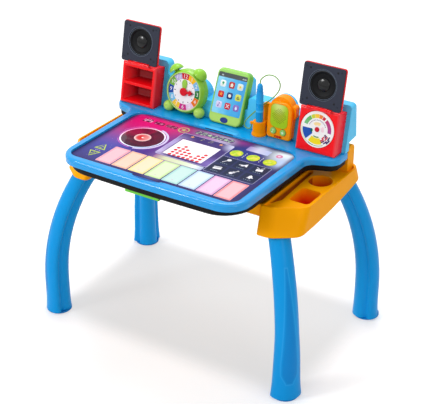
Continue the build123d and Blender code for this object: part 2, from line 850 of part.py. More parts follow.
def phone_body():
    plane = phone_plane()
    outline = rectangle(-phone_half, phone_half, 3.0, phone_len, 13.0)
    body = slab(outline, -phone_thick, 0)
    front = body.edges().filter_by_position(Axis.Z, -0.01, 0.01)
    body = fillet(front, 4.0)
    body -= slab(rectangle(-screen_half, screen_half, *screen_s, 3.0), -2.0, 1.0)
    body -= slab(Pos(0, 11.5) * Ellipse(9.5, 6.0), -1.0, 1.0)
    body = plane * body
    return body - block(-100, 100, 0, 200, top_z - 60, top_z)


def phone_screen():
    screen = rectangle(-screen_half + 0.2, screen_half - 0.2, screen_s[0] + 0.2, screen_s[1] - 0.2, 2.8)
    return phone_plane() * slab(screen, -2.0, -0.6)


def phone_badge():
    return phone_plane() * slab(Pos(0, 11.5) * Ellipse(9.3, 5.8), -1.0, 0.4)


# ---------------------------------------------------------------- player
def player_plane():
    return leaning(player_x, player_y, player_lean)


def player_profile():
    return [(slope_y(player_y, player_lean, top_z), top_z),
            (slope_y(player_y, player_lean, wall_high_z), wall_high_z),
            (slope_y(wall_front, lean, wall_high_z), wall_high_z),
            (slope_y(wall_front, lean, top_z), top_z)]


def player_body():
    """Front half with grille, and a wider rear half with a headphone's band and ears."""
    x0, x1 = player_x - player_half, player_x + player_half
    profile = across(player_profile(), x0 - 30, x1 + 30)
    face = rounded([(x0, top_z, 8), (x1, top_z, 8), (x1, player_top, 22), (x0, player_top, 22)])
    body = profile & through(face, 0, player_front_rear)
    front = body.edges().filter_by(lambda e: abs((player_plane().to_local_coords(e.center())).Z) < 0.02)
    body = fillet(front, 4.0)
    rear = rectangle(x0 + 1, x1 - 1, top_z, band_z, 6.0) + Pos(player_x, band_z) * Circle(band_r)
    rear += rectangle(x1 - 12, x1 + 5, band_z - 16, band_z + 12, 7.0)
    body += profile & through(rear, player_front_rear - 3, 200)
    plane = player_plane()
    body -= plane * slab(rectangle(-grille_half, grille_half, *grille_s, 12.0), -2.0, 3.0)
    body -= rod(plane, 0, sum(grille_s) / 2, speaker_r + 1.0, -12.0, 0.0)
    for side in (1, -1):
        body -= rod(plane, side * button_dx, button_s, button_r + slip, -8.0, 3.0)
    slot = rectangle(-5.5 - switch_travel, 5.5 + switch_travel, switch_s - 2.2, switch_s + 2.2, 1.0)
    body -= plane * slab(slot, -4.0, 3.0)
    return body


def player_grille():
    outline = rectangle(-grille_half + 0.2, grille_half - 0.2, grille_s[0] + 0.2, grille_s[1] - 0.2, 11.8)
    plate = slab(outline, -2.0, 0.6)
    pitch = 4.6
    middle = sum(grille_s) / 2
    for i in range(-3, 4):
        for j in range(-4, 5):
            if (i + j) % 2 == 0:
                hole = Pos(i * pitch, middle + j * pitch, 0) * Rot(0, 0, 45) * Box(3.2, 3.2, 6)
                plate -= hole
    return player_plane() * plate


def loudspeaker():
    """Small driver behind the grille: basket, cone and magnet as one turned solid."""
    outline = [(0, -3.4), (speaker_r - 2.5, -2.1), (speaker_r, -2.1), (speaker_r, -4.0),
               (9.0, -8.5), (9.0, -11.9), (0, -11.9)]
    turned = revolve(Plane.XZ * make_face(Polyline(*outline, close=True)), Axis.Z)
    return player_plane() * Pos(0, sum(grille_s) / 2, 0) * turned


def player_button(side):
    plane = player_plane()
    cap = Pos(side * button_dx, button_s, 0) * (Pos(0, 0, -0.4) * Cylinder(button_r, 6.8))
    top = cap.edges().sort_by(Axis.Z)[-1]
    return plane * fillet(top, 1.5)


def button_springs():
    """Rubber domes under the two buttons."""
    plane = player_plane()
    return group([rod(plane, side * button_dx, button_s, 3.0, -8.0, -3.8) for side in (1, -1)])


def slide_switch():
    plane = player_plane()
    return plane_box(plane, -5.2, 5.2, switch_s - 1.9, switch_s + 1.9, -4.0, 1.6)


# ---------------------------------------------------------------- pen, holder and cord
def pen_holder():
    """Cup with a flared foot, a panel beside the player and an eye for the cord."""
    place = Pos(pen_x, pen_y, 0)
    outline = [(0, top_z), (cup_foot_r, top_z), (cup_foot_r, top_z + 2.5), (cup_r + 0.5, top_z + 8.0),
               (cup_r, cup_top), (0, cup_top)]
    cup = place * revolve(Plane.XZ * make_face(Polyline(*outline, close=True)), Axis.Z)
    side = player_x - player_half - gap
    panel = through(rectangle(pen_x - 3, side, top_z, panel_top, 5.0), panel_front, 200)
    strut = block(pen_x + 2, side, pen_y + 8, panel_front + 1, top_z + 20, cup_top - 2)
    x, y, z = cord_end
    eye = block(x - 2.4, pen_x - 8, y - 2.4, y + 2.4, z, z + 4.5)
    holder = cup + panel + strut + eye
    holder -= behind_wall(pen_x - 30, pen_x + 30)
    holder -= rod(Plane.XY, pen_x, pen_y, pen_r + slip, pen_bottom, 600)
    return holder


def pen_body():
    outline = [(0, pen_bottom + 12), (pen_r, pen_bottom + 12), (pen_r, pen_top - 62.5),
               (pen_r + 0.3, pen_top - 62.0), (pen_r + 0.3, pen_top - 59.5), (pen_r, pen_top - 59.0),
               (pen_r, pen_top - 20.0), (pen_r - 0.8, pen_top - 14.0), (pen_r - 2.4, pen_top - 6.0),
               (3.0, pen_top), (0, pen_top)]
    return Pos(pen_x, pen_y, 0) * revolve(Plane.XZ * make_face(Polyline(*outline, close=True)), Axis.Z)


def pen_tip():
    outline = [(0, pen_bottom), (2.2, pen_bottom), (pen_r - 1.5, pen_bottom + 12), (0, pen_bottom + 12)]
    return Pos(pen_x, pen_y, 0) * revolve(Plane.XZ * make_face(Polyline(*outline, close=True)), Axis.Z)


cord_end = (62.5, 82.0, 454.0)
cord_route = [
    (pen_x, pen_y, pen_top), (pen_x, pen_y, pen_top + 6.5), (86.0, 82.6, 561.5), (97.0, 84.5, 570.5),
    (113.5, 87.0, 570.5), (125.0, 89.0, 558.0), (123.5, 90.6, 541.0), (112.0, 92.3, 524.0),
    (96.5, 94.3, 508.5), (80.0, 95.5, 494.0), (66.0, 92.5, 479.5), (54.5, 88.5, 466.5),
    (46.5, 85.0, 456.5), (43.9, 83.0, 448.6), (46.9, 82.0, 442.6), (52.9, 82.0, 440.0),
    (59.2, 82.0, 441.9), (62.5, 82.0, 447.6), cord_end]


def cord_radii():
    """Each corner's arc: as large as its two runs allow."""
    radii = []
    for before, here, after in zip(cord_route, cord_route[1:], cord_route[2:]):
        a = Vector(*here) - Vector(*before)
        b = Vector(*after) - Vector(*here)
        half_turn = radians(a.get_angle(b)) / 2
        radii.append(0.45 * min(a.length, b.length) / tan(half_turn))
    return radii


def pen_cord():
    radii = cord_radii()
    path = FilletPolyline(*cord_route, radius=radii)
    start = Vector(*cord_route[1]) - Vector(*cord_route[0])
    section = Plane(origin=cord_route[0], z_dir=start) * Circle(cord_d / 2)
    tube = sweep(section, path)
    print("cord radii", [round(r, 1) for r in radii])
    print("cord length", round(path.length, 1), "volume", round(tube.volume, 1),
          "section times length", round(3.14159265 * (cord_d / 2) ** 2 * path.length, 1))
    return tube


# ---------------------------------------------------------------- storage tray
def wing_faces(side_x, grow):
    """Upper and lower outlines of a side wing; grow moves the walls outward."""
    slant = grow * 0.6
    upper_x, lower_x = tub_half - 6.0 - grow, tub_half + 4.0 - grow
    rear_low = wing_rear + 52.0 + grow
    top = rounded([(upper_x, tub_front - 2 - grow, 4), (tub_half + 24, tub_front + 3 - grow, 38),
                   (side_x + grow, tub_front + 38 - slant, 24), (side_x + grow, wing_rear + grow, 24),
                   (upper_x, wing_rear + grow, 8)])
    low = rounded([(lower_x, tub_front - 43 - grow, 12), (tub_half + 36, tub_front - 45 - grow, 32),
                   (side_x + 3 + grow, tub_front - 2 - slant, 36), (side_x - 1 + grow, rear_low, 52),
                   (lower_x, rear_low, 12)])
    return top, low


wing_low_z = 322.0


def wing_solid(grow=0.0, top=rim_z, low=wing_low_z):
    """Lofted wing from the rim down, cut by the curved lower edge."""
    upper, lower = wing_faces(wing_x, grow)
    body = loft([Pos(0, 0, wing_low_z) * lower, Pos(0, 0, rim_z) * upper])
    return body & block(0, far, -far, far, low, top)


def belly():
    """Everything above the curved lower edge of the wings."""
    return Pos(far / 2, belly_y, belly_z + belly_r) * Rot(0, 90, 0) * Cylinder(belly_r, far)


def leg_axis(foot, turn, bend, z):
    """Point of a leg's centre line at height z, and its tangent, on the right side."""
    rise = z - leg_straight
    if rise <= 0:
        return (foot[0], foot[1], z), (0, 0, 1)
    rise = min(rise, leg_arc_top - leg_straight)
    shift = bend - sqrt(bend ** 2 - rise ** 2)
    lean_in = rise / bend
    up = sqrt(1 - lean_in ** 2)
    tangent = (turn[0] * lean_in, turn[1] * lean_in, up)
    extra = z - leg_straight - rise
    x = foot[0] + turn[0] * (shift + extra * lean_in / up)
    y = foot[1] + turn[1] * (shift + extra * lean_in / up)
    return (x, y, z), tangent


def leg_spots():
    """Foot, bend direction and bend radius of the two right-hand legs."""
    return ((front_foot, front_turn, leg_front_bend), (rear_foot, rear_turn, leg_rear_bend))


def tray_wing():
    """Right wing: walls, cup deck, two cups, two leg sockets and the hinge tower."""
    lip = 4.0
    outer = wing_solid()
    under_cups = wing_solid(-tray_wall, deck_z - tray_wall, wing_low_z)
    under_gutter = wing_solid(-tray_wall, channel_z - tray_wall, wing_low_z)
    body = outer - (under_cups & block(channel_end + 3, far, -far, far, 0, cut_high))
    body -= under_gutter & block(0, channel_end + 3, -far, far, 0, cut_high)
    body -= wing_solid(-lip, rim_z + 1, deck_z)
    body -= block(tub_half - 16, tub_half, tub_front + 5, wing_rear + 2, deck_z, rim_z + 1)
    channel = rounded([(tub_half, tub_front + 20, 2), (channel_end + 2, tub_front + 48, 5),
                       (channel_end - 4, tub_rear - 28, 4), (tub_half, tub_rear - 28, 2)])
    body -= slab(channel, channel_z, deck_z + 1)
    pods = slab(Pos(*round_cup) * Circle(round_cup_r + 2.5), round_cup_floor - 2, deck_z - 1)
    (x, y), (half_x, half_y) = square_cup, square_cup_half
    square = rectangle(x - half_x, x + half_x, y - half_y, y + half_y, 9.0)
    pods += slab(inset(square, -2.5), square_cup_floor - 2, deck_z - 1) & outer
    body += pods
    for foot, turn, bend in leg_spots():
        body += leg_skin(foot, turn, bend, -3.2, 300.0, leg_top + 3) & outer
    body &= belly()
    body -= slab(Pos(*round_cup) * Circle(round_cup_r), round_cup_floor, deck_z + 10)
    body -= slab(square, square_cup_floor, deck_z + 10)
    for foot, turn, bend in leg_spots():
        body -= leg_skin(foot, turn, bend, -gap, 300.0, leg_top + gap)
    return body + hinge_tower()


def hinge_tower():
    tower = block(*tower_x, hinge_y - tower_r, hinge_y + tower_r, deck_z - 1, hinge_z)
    tower += x_rod(hinge_y, hinge_z, tower_r, *tower_x)
    return tower - x_rod(hinge_y, hinge_z, lid_pin_r, tower_x[0] - 1, tower_x[1] - 6)


def base_tray():
    """Storage tub with a wing on each side."""
    floor_face = rectangle(-tub_half, tub_half, tub_front, tub_rear, 12.0)
    tub = slab(floor_face, tub_floor_z, rim_z)
    half = tub_half - 14.0
    front = slab(rectangle(-half, half, tub_front, tub_front + 20, 3), rim_z - 5, tub_top_z)
    rear = slab(rectangle(-half, half, tub_rear - 20, tub_rear, 3), rim_z - 5, tub_top_z)
    wing = tray_wing()
    tray = tub + front + rear + wing + mirrored(wing)
    tray -= slab(inset(floor_face, tray_wall), tub_floor_z + tray_wall, tub_top_z + 1)
    return tray


def lid_hinge_pins():
    """Pins fixed in the towers, on which the desk top turns."""
    pin = x_rod(hinge_y, hinge_z, lid_pin_r, knuckle_x[0] + 5, tower_x[1] - 6)
    return group([pin, mirrored(pin)])


def tray_bumpers():
    low = tub_top_z
    high = shell_low - board_height - 0.2
    middles = (tub_front + tray_wall / 2, tub_rear - tray_wall / 2)
    spots = [(x, y) for x in (-150.0, 150.0) for y in middles]
    return group([block(x - 8, x + 8, y - 1.2, y + 1.2, low, high) for x, y in spots])


# ---------------------------------------------------------------- legs
leg_top = leg_arc_top + leg_plug - 8.0


def leg_skin(foot, turn, bend, shrink, z_low, z_high):
    """Smooth tapering leg through round sections across its centre line."""
    heights = (20.0, 50.0, 90.0, 140.0, 190.0, 240.0, 290.0, leg_arc_top)
    stations = [z_low] + [z for z in heights if z_low + 5 < z < z_high - 5] + [z_high]
    sections = []
    for z in stations:
        spot, tangent = leg_axis(foot, turn, bend, z)
        sections.append(Plane(origin=spot, z_dir=tangent) * Circle(leg_radius(z) - shrink))
    return loft(sections)


def leg_radius(z):
    if z < 90.0:
        t = max(0.0, (50.0 - z) / 50.0)
        return leg_r_mid + (leg_r_foot - leg_r_mid) * t * t
    t = min(1.0, (z - 90.0) / (leg_arc_top - 20 - 90.0))
    return leg_r_mid + (leg_r_top - leg_r_mid) * t


def leg(foot, turn, bend):
    outer = leg_skin(foot, turn, bend, 0.0, pad_height, leg_top)
    inner = leg_skin(foot, turn, bend, leg_wall, pad_height + leg_wall, leg_top + 1)
    return outer - inner


def foot_pad(foot):
    return slab(Pos(*foot) * Circle(leg_r_foot - 1.0), 0, pad_height)


# ---------------------------------------------------------------- export
def export_all():
    save("base_tray", base_tray())
    save("lid_hinge_pins", lid_hinge_pins())
    save("tray_bumpers", tray_bumpers())
    pads = []
    for name, (foot, turn, bend) in zip(("front", "rear"), leg_spots()):
        right = leg(foot, turn, bend)
        save(f"leg_{name}_right", right)
        save(f"leg_{name}_left", mirrored(right))
        pads += [foot_pad(foot), mirrored(foot_pad(foot))]
    save("foot_pads", group(pads))
    save("desktop_shell", desktop_shell())
    save("chalkboard", chalkboard())
    save("shell_screws", shell_screws())
    save("activity_page", activity_page())
    save("led_lens", led_lens())
    save("led_board", led_board())
    save("touch_board", touch_board())
    save("paper_clip", paper_clip())
    save("clip_mount", clip_mount())
    save("clip_pin", clip_pin())
    save("clip_spring", clip_spring())
    save("back_wall", back_wall())
    save("back_cover", back_cover())
    save("cover_screws", cover_screws())
    save("battery_box", battery_box())
    save("batteries", batteries())
    save("battery_door", battery_door())
    save("main_board", main_board())
    save("speaker_box_left", speaker_box_left())
    save("speaker_box_right", speaker_box_right())
    for name, side in (("left", -1), ("right", 1)):
        save(f"speaker_door_{name}", speaker_door(side))
        save(f"speaker_face_{name}", speaker_face(side))
        save(f"speaker_cone_{name}", speaker_cone(side))
        save(f"speaker_dome_{name}", speaker_dome(side))
        save(f"player_button_{name}", player_button(side))
    save("door_hinge_pins", door_hinge_pins())
    save("colour_wheel", colour_wheel())
    save("wheel_rivet", wheel_rivet())
    save("clock_body", clock_body())
    save("clock_dial", clock_dial())
    save("clock_pin", clock_pin())
    save("minute_hand", minute_hand())
    save("hour_hand", hour_hand())
    save("phone_body", phone_body())
    save("phone_screen", phone_screen())
    save("phone_badge", phone_badge())
    save("player_body", player_body())
    save("player_grille", player_grille())
    save("loudspeaker", loudspeaker())
    save("button_springs", button_springs())
    save("slide_switch", slide_switch())
    save("pen_holder", pen_holder())
    save("pen_body", pen_body())
    save("pen_tip", pen_tip())
    save("pen_cord", pen_cord())


export_all()
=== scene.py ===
from math import asin, cos, pi, radians, sin, sqrt

import bpy
from bpy.props import FloatProperty, FloatVectorProperty, IntProperty, PointerProperty
from mathutils import Matrix, Vector


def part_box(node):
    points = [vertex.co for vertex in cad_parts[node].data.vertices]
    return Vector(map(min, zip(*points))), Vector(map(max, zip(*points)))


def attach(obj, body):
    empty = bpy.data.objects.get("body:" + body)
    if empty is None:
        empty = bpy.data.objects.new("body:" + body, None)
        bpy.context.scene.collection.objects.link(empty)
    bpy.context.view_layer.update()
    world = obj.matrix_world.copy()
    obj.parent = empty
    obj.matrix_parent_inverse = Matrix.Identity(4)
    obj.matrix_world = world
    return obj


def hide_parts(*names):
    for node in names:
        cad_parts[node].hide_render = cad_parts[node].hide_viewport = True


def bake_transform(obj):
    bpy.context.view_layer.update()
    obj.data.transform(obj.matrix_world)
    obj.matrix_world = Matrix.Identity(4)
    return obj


bl_info = {
    "name": "Musical activity table",
    "version": (1, 0, 0),
    "blender": (4, 5, 0),
    "location": "3D View > Sidebar > Activity Table",
    "description": "Dresses a toddler's musical activity table in its mouldings, prints and finishes",
    "category": "Object",
}

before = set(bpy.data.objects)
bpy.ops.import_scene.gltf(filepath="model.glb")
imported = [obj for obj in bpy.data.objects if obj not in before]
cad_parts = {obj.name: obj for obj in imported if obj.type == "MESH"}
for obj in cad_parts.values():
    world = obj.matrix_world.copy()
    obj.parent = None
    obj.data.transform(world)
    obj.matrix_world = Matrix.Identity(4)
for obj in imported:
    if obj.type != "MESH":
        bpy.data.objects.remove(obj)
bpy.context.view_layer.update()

MM = 0.001

# Heights above the floor in mm.
PAGE_TOP = 430.0
SHELF_TOP = 434.0

# Leaning fronts that stand on the shelf: x, y and the tilt back in degrees.
BOX_FRONT = (222.3, 61.70, 11.36)
CLOCK_FRONT = (-108.8, 74.30, 11.36)
PHONE_FRONT = (-5.5, 76.70, 23.0)
PLAYER_FRONT = (127.0, 80.35, 5.0)


# ---------------------------------------------------------------- settings shown in the sidebar
def paint(red, green, blue):
    """Linear colour of a paint mixed as 0 to 255 values."""
    return tuple(((v / 255 + 0.055) / 1.055) ** 2.4 if v > 10 else v / 255 / 12.92 for v in (red, green, blue))


def paint_setting(name, description, *mixed):
    return FloatVectorProperty(name=name, description=description, subtype="COLOR", size=3,
                               min=0.0, max=1.0, default=paint(*mixed))


def length_setting(name, description, value):
    return FloatProperty(name=name, description=description, unit="LENGTH", default=value * MM,
                         min=0.0, precision=4)


class TablePaints(bpy.types.PropertyGroup):
    """Main colours of the mouldings, films and cord."""
    legs: paint_setting("Legs", "Blue of the four legs", 2, 150, 224)
    desk: paint_setting("Desk top", "Lighter blue of the desk top", 0, 153, 226)
    tray: paint_setting("Tray", "Orange of the storage tray", 255, 168, 0)
    boxes: paint_setting("Speaker boxes", "Red of the speaker boxes and doors", 250, 10, 22)
    clock: paint_setting("Clock", "Green of the clock's case and bells", 144, 204, 60)
    phone: paint_setting("Phone", "Green of the phone's case", 100, 186, 50)
    lime: paint_setting("Grille", "Lime of the player's grille", 160, 212, 60)
    player: paint_setting("Player", "Orange of the music player and the pen's cup", 255, 152, 0)
    board: paint_setting("Writing board", "Black of the writing board", 14, 15, 17)
    slate: paint_setting("Speaker fronts", "Dark slate of the speaker fronts", 50, 54, 68)
    screen: paint_setting("Phone screen", "Sky blue behind the icons", 62, 178, 230)
    badge: paint_setting("Badge", "Dark blue of the oval badge", 22, 48, 128)
    pen: paint_setting("Pen", "Blue of the pen", 0, 158, 230)
    cord: paint_setting("Cord", "Pale green of the pen's cord", 126, 174, 84)
    page: paint_setting("Page ground", "Dark indigo behind the page's glows", 44, 38, 104)


class TableSizes(bpy.types.PropertyGroup):
    """Sizes of the mouldings and prints."""
    print_height: length_setting("Print height", "Raised height of each printed area", 0.16)
    key_pitch: length_setting("Key pitch", "Distance from one key to the next", 40.3)
    key_length: length_setting("Key length", "Length of a key, front to back", 72.6)
    record: length_setting("Record radius", "Radius of the printed record", 46.5)
    light_pitch: length_setting("Light pitch", "Distance between the lights of the display", 11.1)
    light_radius: length_setting("Light radius", "Radius of one light of the display", 4.1)
    dial: length_setting("Dial ring", "Outer radius of the clock's coloured ring", 40.0)
    icon: length_setting("Icon size", "Side of an icon on the phone's screen", 14.0)
    leg_outer: length_setting("Leg outer half width", "Half width of a leg's outer lobe at the foot", 27.8)
    leg_inner: length_setting("Leg inner half width", "Half width of a leg's inner lobe at the foot", 18.0)
    leg_steps: IntProperty(name="Leg steps", description="Steps along a leg's bend", default=16, min=4, max=64)


# ---------------------------------------------------------------- shader building
def opaque(colour):
    return (colour[0], colour[1], colour[2], 1.0)


def mixed_stops(*stops):
    """Stops of a ramp, each a place from 0 to 1 and a paint mixed as 0 to 255 values."""
    return [(place, paint(*mixed)) for place, *mixed in stops]


def grey_stops(*stops):
    return [(place, (grey,) * 3) for place, grey in stops]


def empty_graph(holder):
    """Graph of a material or world with its nodes cleared."""
    holder.use_nodes = True
    holder.node_tree.nodes.clear()
    return Graph(holder.node_tree)


class Graph:
    """Adds nodes to one material or node group, and links them."""

    def __init__(self, tree):
        self.tree = tree

    def node(self, kind, inputs=None, **settings):
        made = self.tree.nodes.new(kind)
        for key, value in settings.items():
            setattr(made, key, value)
        for key, value in (inputs or {}).items():
            if isinstance(value, bpy.types.NodeSocket):
                self.tree.links.new(value, made.inputs[key])
            else:
                made.inputs[key].default_value = value
        return made

    def maths(self, operation, first, second=0.0, clamp=False):
        made = self.node("ShaderNodeMath", {0: first, 1: second}, operation=operation, use_clamp=clamp)
        return made.outputs[0]

    def plus(self, first, second):
        return self.maths("ADD", first, second)

    def minus(self, first, second):
        return self.maths("SUBTRACT", first, second)

    def times(self, first, second):
        return self.maths("MULTIPLY", first, second)

    def larger(self, first, second):
        return self.maths("MAXIMUM", first, second)

    def mix(self, share, first, second):
        """Colour between two, each a socket or a plain colour."""
        first, second = (c if isinstance(c, bpy.types.NodeSocket) else opaque(c) for c in (first, second))
        return self.node("ShaderNodeMix", {0: share, 6: first, 7: second}, data_type="RGBA").outputs[2]

    def spread(self, value, low, high, new_low, new_high, kind="LINEAR"):
        values = {"Value": value, "From Min": low, "From Max": high, "To Min": new_low, "To Max": new_high}
        return self.node("ShaderNodeMapRange", values, interpolation_type=kind).outputs[0]

    def ramp(self, share, stops):
        made = self.node("ShaderNodeValToRGB", {0: share})
        while len(made.color_ramp.elements) < len(stops):
            made.color_ramp.elements.new(1.0)
        for element, (place, colour) in zip(made.color_ramp.elements, stops):
            element.position = place
            element.color = opaque(colour)
        return made.outputs[0]

    def noise(self, place, scale, **more):
        values = {"Vector": place, "Scale": scale, **{key.title(): value for key, value in more.items()}}
        return self.node("ShaderNodeTexNoise", values).outputs[0]

    def place(self, centre=(0, 0, 0), tilt=None):
        """Coordinates in metres from a centre in mm, level or in a plane that leans back by tilt degrees."""
        found = self.node("ShaderNodeTexCoord").outputs["Object"]
        turn = 0.0 if tilt is None else radians(90.0 - tilt)
        values = {"Vector": found, "Location": Vector(centre) * MM, "Rotation": (turn, 0.0, 0.0)}
        return self.node("ShaderNodeMapping", values, vector_type="TEXTURE").outputs[0]

    def front(self, x, y, tilt):
        """Coordinates on a leaning front: x right, y up the slope, z out of it."""
        return self.place((x, y, SHELF_TOP), tilt)

    def axes(self, place):
        return self.node("ShaderNodeSeparateXYZ", {0: place}).outputs

    def shared(self, group, inputs):
        return self.node("ShaderNodeGroup", inputs, node_tree=shared_tree(*group)).outputs

    def spot(self, place, centre, radius):
        return self.shared(SOFT_SPOT, {"Place": place, "Centre": centre, "Radius": radius})["Mask"]

    def border(self, place, half_width, half_height, fade):
        return self.shared(RECTANGLE_BORDER, {"Place": place, "Half width": half_width,
                                              "Half height": half_height, "Fade": fade})["Mask"]

    def polar(self, place):
        return self.shared(ROUND_THE_CENTRE, {"Place": place})


SOCKETS = {"colour": "NodeSocketColor", "number": "NodeSocketFloat", "vector": "NodeSocketVector"}


def shared_tree(name, inputs, outputs, fill):
    """Node group, made once. fill(graph, given) returns its output sockets by their labels."""
    if name in bpy.data.node_groups:
        return bpy.data.node_groups[name]
    tree = bpy.data.node_groups.new(name, "ShaderNodeTree")
    for label, (kind, value) in inputs.items():
        tree.interface.new_socket(label, in_out="INPUT", socket_type=SOCKETS[kind]).default_value = value
    for label, kind in outputs.items():
        tree.interface.new_socket(label, in_out="OUTPUT", socket_type=SOCKETS[kind])
    graph = Graph(tree)
    graph.node("NodeGroupOutput", fill(graph, graph.node("NodeGroupInput").outputs))
    return tree


def moulded_skin(graph, given):
    """Moulded skin: cloudy tone, fine grain and handling smears."""
    place = graph.node("ShaderNodeTexCoord").outputs["Object"]
    cloud = graph.noise(place, 9.0, detail=3.0)
    speck = graph.noise(place, 260.0, detail=2.0)
    smear = graph.noise(place, 60.0, detail=5.0, roughness=0.65, distortion=0.8)
    grain = graph.noise(place, given["Grain scale"], detail=2.0)
    tone = graph.plus(graph.times(cloud, 0.75), graph.times(speck, 0.25))
    value = graph.plus(graph.times(graph.times(graph.minus(tone, 0.5), given["Mottle"]), 2.0), 1.0)
    colour = graph.node("ShaderNodeHueSaturation", {"Value": value, "Color": given["Colour"]}).outputs[0]
    rough = graph.times(graph.minus(smear, 0.5), given["Smear"])
    rough = graph.maths("ADD", rough, given["Roughness"], clamp=True)
    return {"Colour": colour, "Roughness": rough, "Height": grain}


def round_the_centre(graph, given):
    """Distance from a centre, and the turn round it from 0 to 1, counter-clockwise from the right."""
    parts = graph.axes(given["Place"])
    square = graph.plus(graph.times(parts[0], parts[0]), graph.times(parts[1], parts[1]))
    angle = graph.maths("ARCTAN2", parts[1], parts[0])
    turn = graph.maths("FRACT", graph.plus(graph.maths("DIVIDE", angle, 2 * pi), 1.0))
    return {"Radius": graph.maths("SQRT", square), "Turn": turn}


def soft_spot(graph, given):
    """Round soft spot: 1 at its centre and 0 at its radius."""
    far = graph.node("ShaderNodeVectorMath", {0: given["Place"], 1: given["Centre"]}, operation="DISTANCE")
    share = graph.maths("DIVIDE", far.outputs["Value"], given["Radius"])
    return {"Mask": graph.spread(share, 0.0, 1.0, 1.0, 0.0, "SMOOTHSTEP")}


def rectangle_border(graph, given):
    """Border of a rectangle about the origin: 1 at its edge and 0 further in than the fade."""
    parts = graph.axes(given["Place"])
    across = graph.minus(given["Half width"], graph.maths("ABSOLUTE", parts[0]))
    along = graph.minus(given["Half height"], graph.maths("ABSOLUTE", parts[1]))
    inside = graph.maths("DIVIDE", graph.maths("MINIMUM", across, along), given["Fade"])
    return {"Mask": graph.spread(inside, 0.0, 1.0, 1.0, 0.0, "SMOOTHSTEP")}


MOULDED_SKIN = ("Moulded skin",
                {"Colour": ("colour", (0.5, 0.5, 0.5, 1.0)), "Mottle": ("number", 0.05),
                 "Roughness": ("number", 0.3), "Smear": ("number", 0.1), "Grain scale": ("number", 900.0)},
                {"Colour": "colour", "Roughness": "number", "Height": "number"}, moulded_skin)
ROUND_THE_CENTRE = ("Round the centre", {"Place": ("vector", (0, 0, 0))},
                    {"Radius": "number", "Turn": "number"}, round_the_centre)
SOFT_SPOT = ("Soft spot", {"Place": ("vector", (0, 0, 0)), "Centre": ("vector", (0, 0, 0)),
                           "Radius": ("number", 0.1)}, {"Mask": "number"}, soft_spot)
RECTANGLE_BORDER = ("Rectangle border",
                    {"Place": ("vector", (0, 0, 0)), "Half width": ("number", 0.02),
                     "Half height": ("number", 0.03), "Fade": ("number", 0.005)},
                    {"Mask": "number"}, rectangle_border)


def finish_material(name, colour, roughness=0.3, mottle=0.05, smear=0.1, grain=900.0, bump=0.08,
                    edge=0.0, base=None, shine=0.15, **constants):
    """Principled finish on the moulded skin. base(graph) may give another colour socket than the plain colour."""
    material = bpy.data.materials.new(name)
    material.use_nodes = True
    graph = Graph(material.node_tree)
    shader = material.node_tree.nodes["Principled BSDF"]
    ground = opaque(colour) if base is None else base(graph)
    skin = graph.shared(MOULDED_SKIN, {"Colour": ground, "Mottle": mottle, "Roughness": roughness,
                                       "Smear": smear, "Grain scale": grain})
    graph.tree.links.new(skin["Colour"], shader.inputs["Base Color"])
    graph.tree.links.new(skin["Roughness"], shader.inputs["Roughness"])
    relief = {"Strength": bump, "Distance": 0.0004, "Height": skin["Height"]}
    if edge:
        relief["Normal"] = graph.node("ShaderNodeBevel", {"Radius": edge * MM}, samples=4).outputs[0]
    graph.tree.links.new(graph.node("ShaderNodeBump", relief).outputs[0], shader.inputs["Normal"])
    shader.inputs["Specular IOR Level"].default_value = shine
    for key, value in constants.items():
        shader.inputs[key.replace("_", " ").title()].default_value = value
    material.diffuse_color = opaque(colour)
    return material


def moulded(name, colour, roughness=0.28, edge=0.9, **more):
    return finish_material(name, colour, roughness=roughness, edge=edge, **more)


def ink(name, colour, **more):
    return finish_material(name, colour, roughness=0.34, mottle=0.07, grain=1600.0, bump=0.04, **more)


def metal(name, colour):
    return finish_material(name, colour, roughness=0.3, mottle=0.1, grain=2600.0, bump=0.1, metallic=1.0)


# ---------------------------------------------------------------- modelling
def deselect_all():
    for thing in bpy.context.selected_objects:
        thing.select_set(False)


def pick(piece):
    deselect_all()
    piece.select_set(True)
    bpy.context.view_layer.objects.active = piece


def edit_all():
    bpy.ops.object.mode_set(mode="EDIT")
    bpy.ops.mesh.select_all(action="SELECT")


def named(piece, name):
    piece.name = name
    piece.data.name = name
    return piece


def first_point(name, x, y, z):
    """A single vertex, in mm, ready in edit mode to be drawn out."""
    deselect_all()
    bpy.ops.mesh.primitive_plane_add(size=0.002, location=(0.0, 0.0, 0.0))
    piece = named(bpy.context.object, name)
    edit_all()
    bpy.ops.mesh.merge(type="CENTER")
    bpy.ops.transform.translate(value=(x * MM, y * MM, z * MM))
    return piece


def draw_through(points):
    """Draws an open line from the first point through the others."""
    for (x0, y0, z0), (x1, y1, z1) in zip(points, points[1:]):
        step = ((x1 - x0) * MM, (y1 - y0) * MM, (z1 - z0) * MM)
        bpy.ops.mesh.extrude_vertices_move(TRANSFORM_OT_translate={"value": step})


def raise_face(height, edge=0.0):
    """Raises the selected face by a height and rounds its rim, both in mm."""
    bpy.ops.mesh.extrude_region_move(TRANSFORM_OT_translate={"value": (0.0, 0.0, height * MM)})
    if edge:
        bpy.ops.mesh.bevel(offset=edge * MM, segments=2, affect="EDGES")
    close_edit()


def close_edit():
    bpy.ops.mesh.select_all(action="SELECT")
    bpy.ops.mesh.normals_make_consistent(inside=False)
    bpy.ops.object.mode_set(mode="OBJECT")


def plate(name, outline, low, high, edge=0.0):
    """Flat piece of an outline in mm, raised from low to high."""
    points = [(x, y, low) for x, y in outline]
    piece = first_point(name, *points[0])
    draw_through(points)
    bpy.ops.mesh.select_all(action="SELECT")
    bpy.ops.mesh.edge_face_add()
    raise_face(high - low, edge)
    return piece


